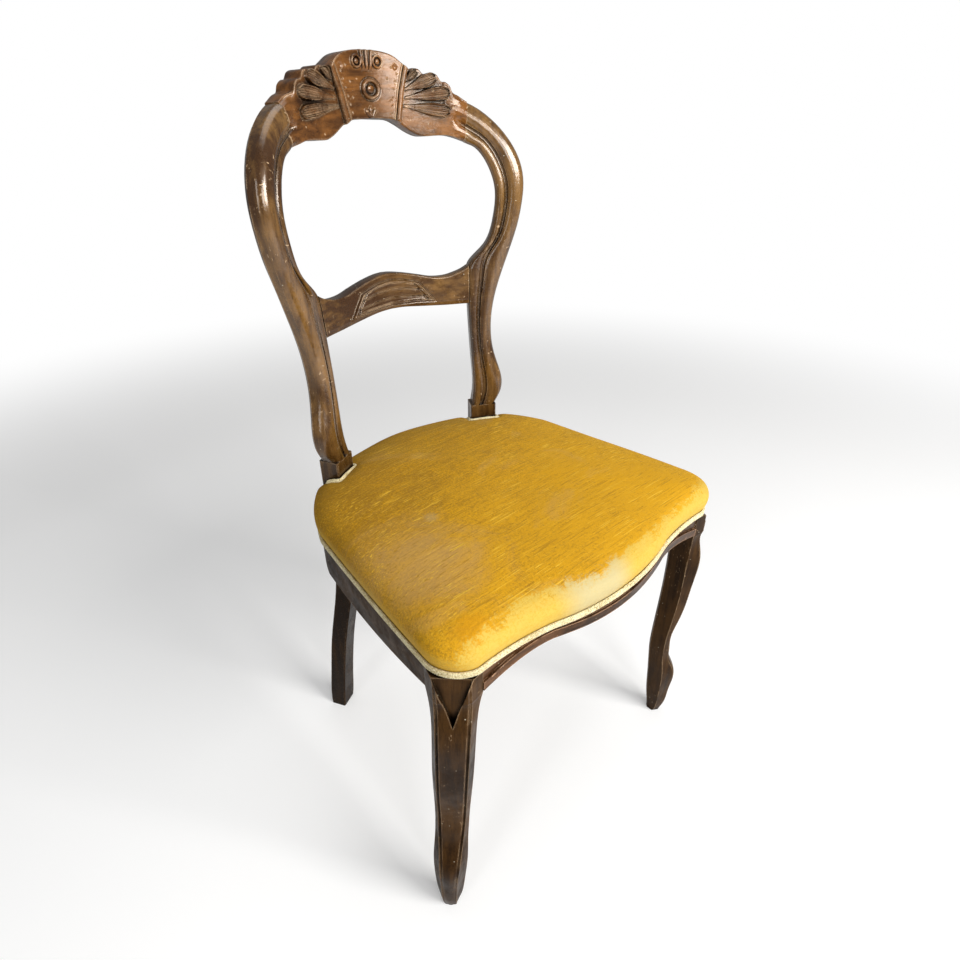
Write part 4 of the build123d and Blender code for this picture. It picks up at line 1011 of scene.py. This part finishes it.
def strip(name, x0, x1, y0, y1, z, weave_along):
    """A web with slightly uneven selvedges, sagging between the rails."""
    nx = max(8, int((x1 - x0) / 5))
    ny = max(8, int((y1 - y0) / 5))
    xs, ys = np.meshgrid(np.linspace(x0, x1, nx), np.linspace(y0, y1, ny))
    sx = (xs - x0) / (x1 - x0)
    sy = (ys - y0) / (y1 - y0)
    lengthwise, widthwise = (sy, sx) if weave_along == "Y" else (sx, sy)
    selvedge = np.cos(lengthwise * 61) * 0.25 * (2 * widthwise - 1)
    if weave_along == "Y":
        xs = xs + selvedge
    else:
        ys = ys + selvedge
    hang = np.sin(math.pi * np.clip((lengthwise - 0.08) / 0.84, 0, 1)) ** 2
    top = np.stack([xs, ys, z + WEB_THICK / 2 - WEB_SAG * hang], -1).reshape(-1, 3)
    return new_object(name, np.vstack([top, top - (0, 0, WEB_THICK)]), slab_faces(ny, nx), sharp=40)


def outline_y(x, points):
    """Where the seat's front or rear edge is at x."""
    use = points[np.abs(points[:, 0]) < 130]
    return float(value_at(x, use[:, 0], use[:, 1]))


def outline_x(y):
    """Where the seat's right side is at y."""
    use = right_side[(right_side[:, 1] > -170) & (right_side[:, 0] > 150)]
    return float(value_at(y, use[:, 1], use[:, 0]))


front_edge = front_half[front_half[:, 1] < -150]
for k, x in enumerate(WEBS_X):
    web = strip(f"web_long_{k + 1}", x - WEB / 2, x + WEB / 2, outline_y(x, front_edge) + WEB_INSET,
                outline_y(x, rear_edge) - WEB_INSET, LONG_WEB_Z, "Y")
    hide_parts("webbing_front_to_back")
    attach(web, "root")
    dress(web, webbing_material)
for k, y in enumerate(WEBS_Y):
    half = min(outline_x(y - WEB / 2), outline_x(y + WEB / 2)) - WEB_SIDE_INSET
    web = strip(f"web_cross_{k + 1}", -half, half, y - WEB / 2, y + WEB / 2, CROSS_WEB_Z, "X")
    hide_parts("webbing_side_to_side")
    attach(web, "root")
    dress(web, webbing_material)

hessian_loop = drawn_in(loop, HESSIAN_SHARE)
hessian_rings = []
for share in HESSIAN_RINGS:
    p = drawn_in(hessian_loop, share)
    dip = 0.25 * np.sin(p[:, 0] / 31.0) * np.sin(p[:, 1] / 27.0)
    hessian_rings.append(lifted(p, HESSIAN_Z + dip))
top_side = np.vstack(hessian_rings)
low_side = top_side - (0, 0, HESSIAN_THICK)
count = len(top_side)
centres = [[*SEAT_MIDDLE, HESSIAN_Z], [*SEAT_MIDDLE, HESSIAN_Z - HESSIAN_THICK]]
faces = grid_faces(len(hessian_rings), columns, wrap=True)
faces += grid_faces(len(hessian_rings), columns, count, wrap=True, turned=True)
inner_ring = count - columns
for c in range(columns):
    d = (c + 1) % columns
    faces.append((inner_ring + c, inner_ring + d, 2 * count))
    faces.append((count + inner_ring + d, count + inner_ring + c, 2 * count + 1))
    faces.append((d, c, count + c, count + d))
hessian = new_object("hessian_cloth", np.vstack([top_side, low_side, centres]), faces, sharp=40)
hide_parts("hessian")
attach(hessian, "root")
dress(hessian, hessian_material)

# ---- floor
FLOOR = 14.0  # metres from the middle to each side
PAPER = (0.8, 0.8, 0.8)
FLOOR_GLOW = 0.23  # added to the paper's own light, so that it reads white and keeps its shadow
FLOOR_FADE = (1.3, 2.6)  # metres from the chair's middle over which the paper turns pure white
floor_mesh = bpy.data.meshes.new("floor")
floor_mesh.from_pydata([(-FLOOR, -FLOOR, 0), (FLOOR, -FLOOR, 0), (FLOOR, FLOOR, 0), (-FLOOR, FLOOR, 0)], [],
                       [(0, 1, 2, 3)])
floor = add_object("floor", floor_mesh)
paper = Nodes("floor_paper")
paper.set(Base_Color=PAPER, Roughness=0.95, Specular_IOR_Level=0.1)
seen = paper.add("LightPath").outputs["Is Camera Ray"]
glow = paper.add("Emission", {"Strength": paper.times(seen, FLOOR_GLOW)}).outputs[0]
lit = paper.add("AddShader", {0: paper.bsdf.outputs[0], 1: glow}).outputs[0]
far = paper.ramp(paper.distance(paper.axis("X"), paper.axis("Y")), *FLOOR_FADE)
white = paper.add("Emission").outputs[0]
whole_floor = paper.add("MixShader", {0: paper.times(far, seen), 1: lit, 2: white}).outputs[0]
paper.link(whole_floor, paper.tree.nodes["Material Output"].inputs["Surface"])
floor.data.materials.append(paper.mat)

# ---- surroundings and lamps
ROOM_LIGHT = 0.2  # strength on the object; seen by the camera the background is white
world = bpy.data.worlds.new("studio")
bpy.context.scene.world = world
world.use_nodes = True
sky = world.node_tree
background = sky.nodes["Background"]
background.inputs["Color"].default_value = (1, 1, 1, 1)
rays = sky.nodes.new("ShaderNodeLightPath")
looked_at = sky.nodes.new("ShaderNodeMath")
looked_at.operation = "MAXIMUM"
for k, kind in enumerate(("Camera", "Transmission")):
    sky.links.new(rays.outputs[f"Is {kind} Ray"], looked_at.inputs[k])
strength = sky.nodes.new("ShaderNodeMapRange")
strength.inputs["To Min"].default_value = ROOM_LIGHT
strength.inputs["To Max"].default_value = 1.0
sky.links.new(looked_at.outputs[0], strength.inputs["Value"])
sky.links.new(strength.outputs["Result"], background.inputs["Strength"])


def area_light(name, place, target, power, width, height, colour=(1, 1, 1)):
    data = bpy.data.lights.new(name, "AREA")
    data.shape = "RECTANGLE"
    data.size = width
    data.size_y = height
    data.energy = power
    data.color = colour
    obj = add_object(name, data)
    obj.location = place
    obj.rotation_euler = (Vector(target) - Vector(place)).to_track_quat("-Z", "Y").to_euler()


area_light("front_window", (0.7, -2.75, 1.85), (0.0, 0.0, 0.45), power=111, width=1.5, height=1.3,
           colour=(1.0, 0.99, 0.97))
area_light("overhead", (0.3, 0.2, 2.7), (0.0, 0.0, 0.4), power=11, width=1.4, height=1.4)
area_light("camera_side_window", (-0.6, -2.00, 1.45), (0.0, 0.1, 0.75), power=16, width=0.7, height=0.9)
area_light("left_strip", (-2.2, -0.7, 1.5), (0.0, 0.0, 0.6), power=9, width=0.4, height=1.6,
           colour=(0.95, 0.98, 1.0))

# ---- camera
PICTURE = 960.0  # width and height of the picture in pixels
FOCAL = 622.8  # focal length and offset of the optical centre, in the same pixels
CENTRE_OFFSET = (-2.7, 7.9)
SENSOR = 36.0
CAMERA_PLACE = (-0.47, -0.502 + SHIFT_Y * MM, 0.881)
PITCH, ROLL, YAW = -31.86, -0.03, -42.44  # degrees
camera_data = bpy.data.cameras.new("photo_view")
camera_data.sensor_width = SENSOR
camera_data.lens = FOCAL * SENSOR / PICTURE
camera_data.shift_x = CENTRE_OFFSET[0] / PICTURE
camera_data.shift_y = CENTRE_OFFSET[1] / PICTURE
camera_data.clip_start = 0.05
camera = add_object("photo_view", camera_data)
camera.location = CAMERA_PLACE
camera.rotation_mode = "XYZ"
camera.rotation_euler = (math.radians(90.0 + PITCH), math.radians(ROLL), math.radians(YAW))
bpy.context.scene.camera = camera
bpy.context.scene.view_settings.view_transform = "Standard"
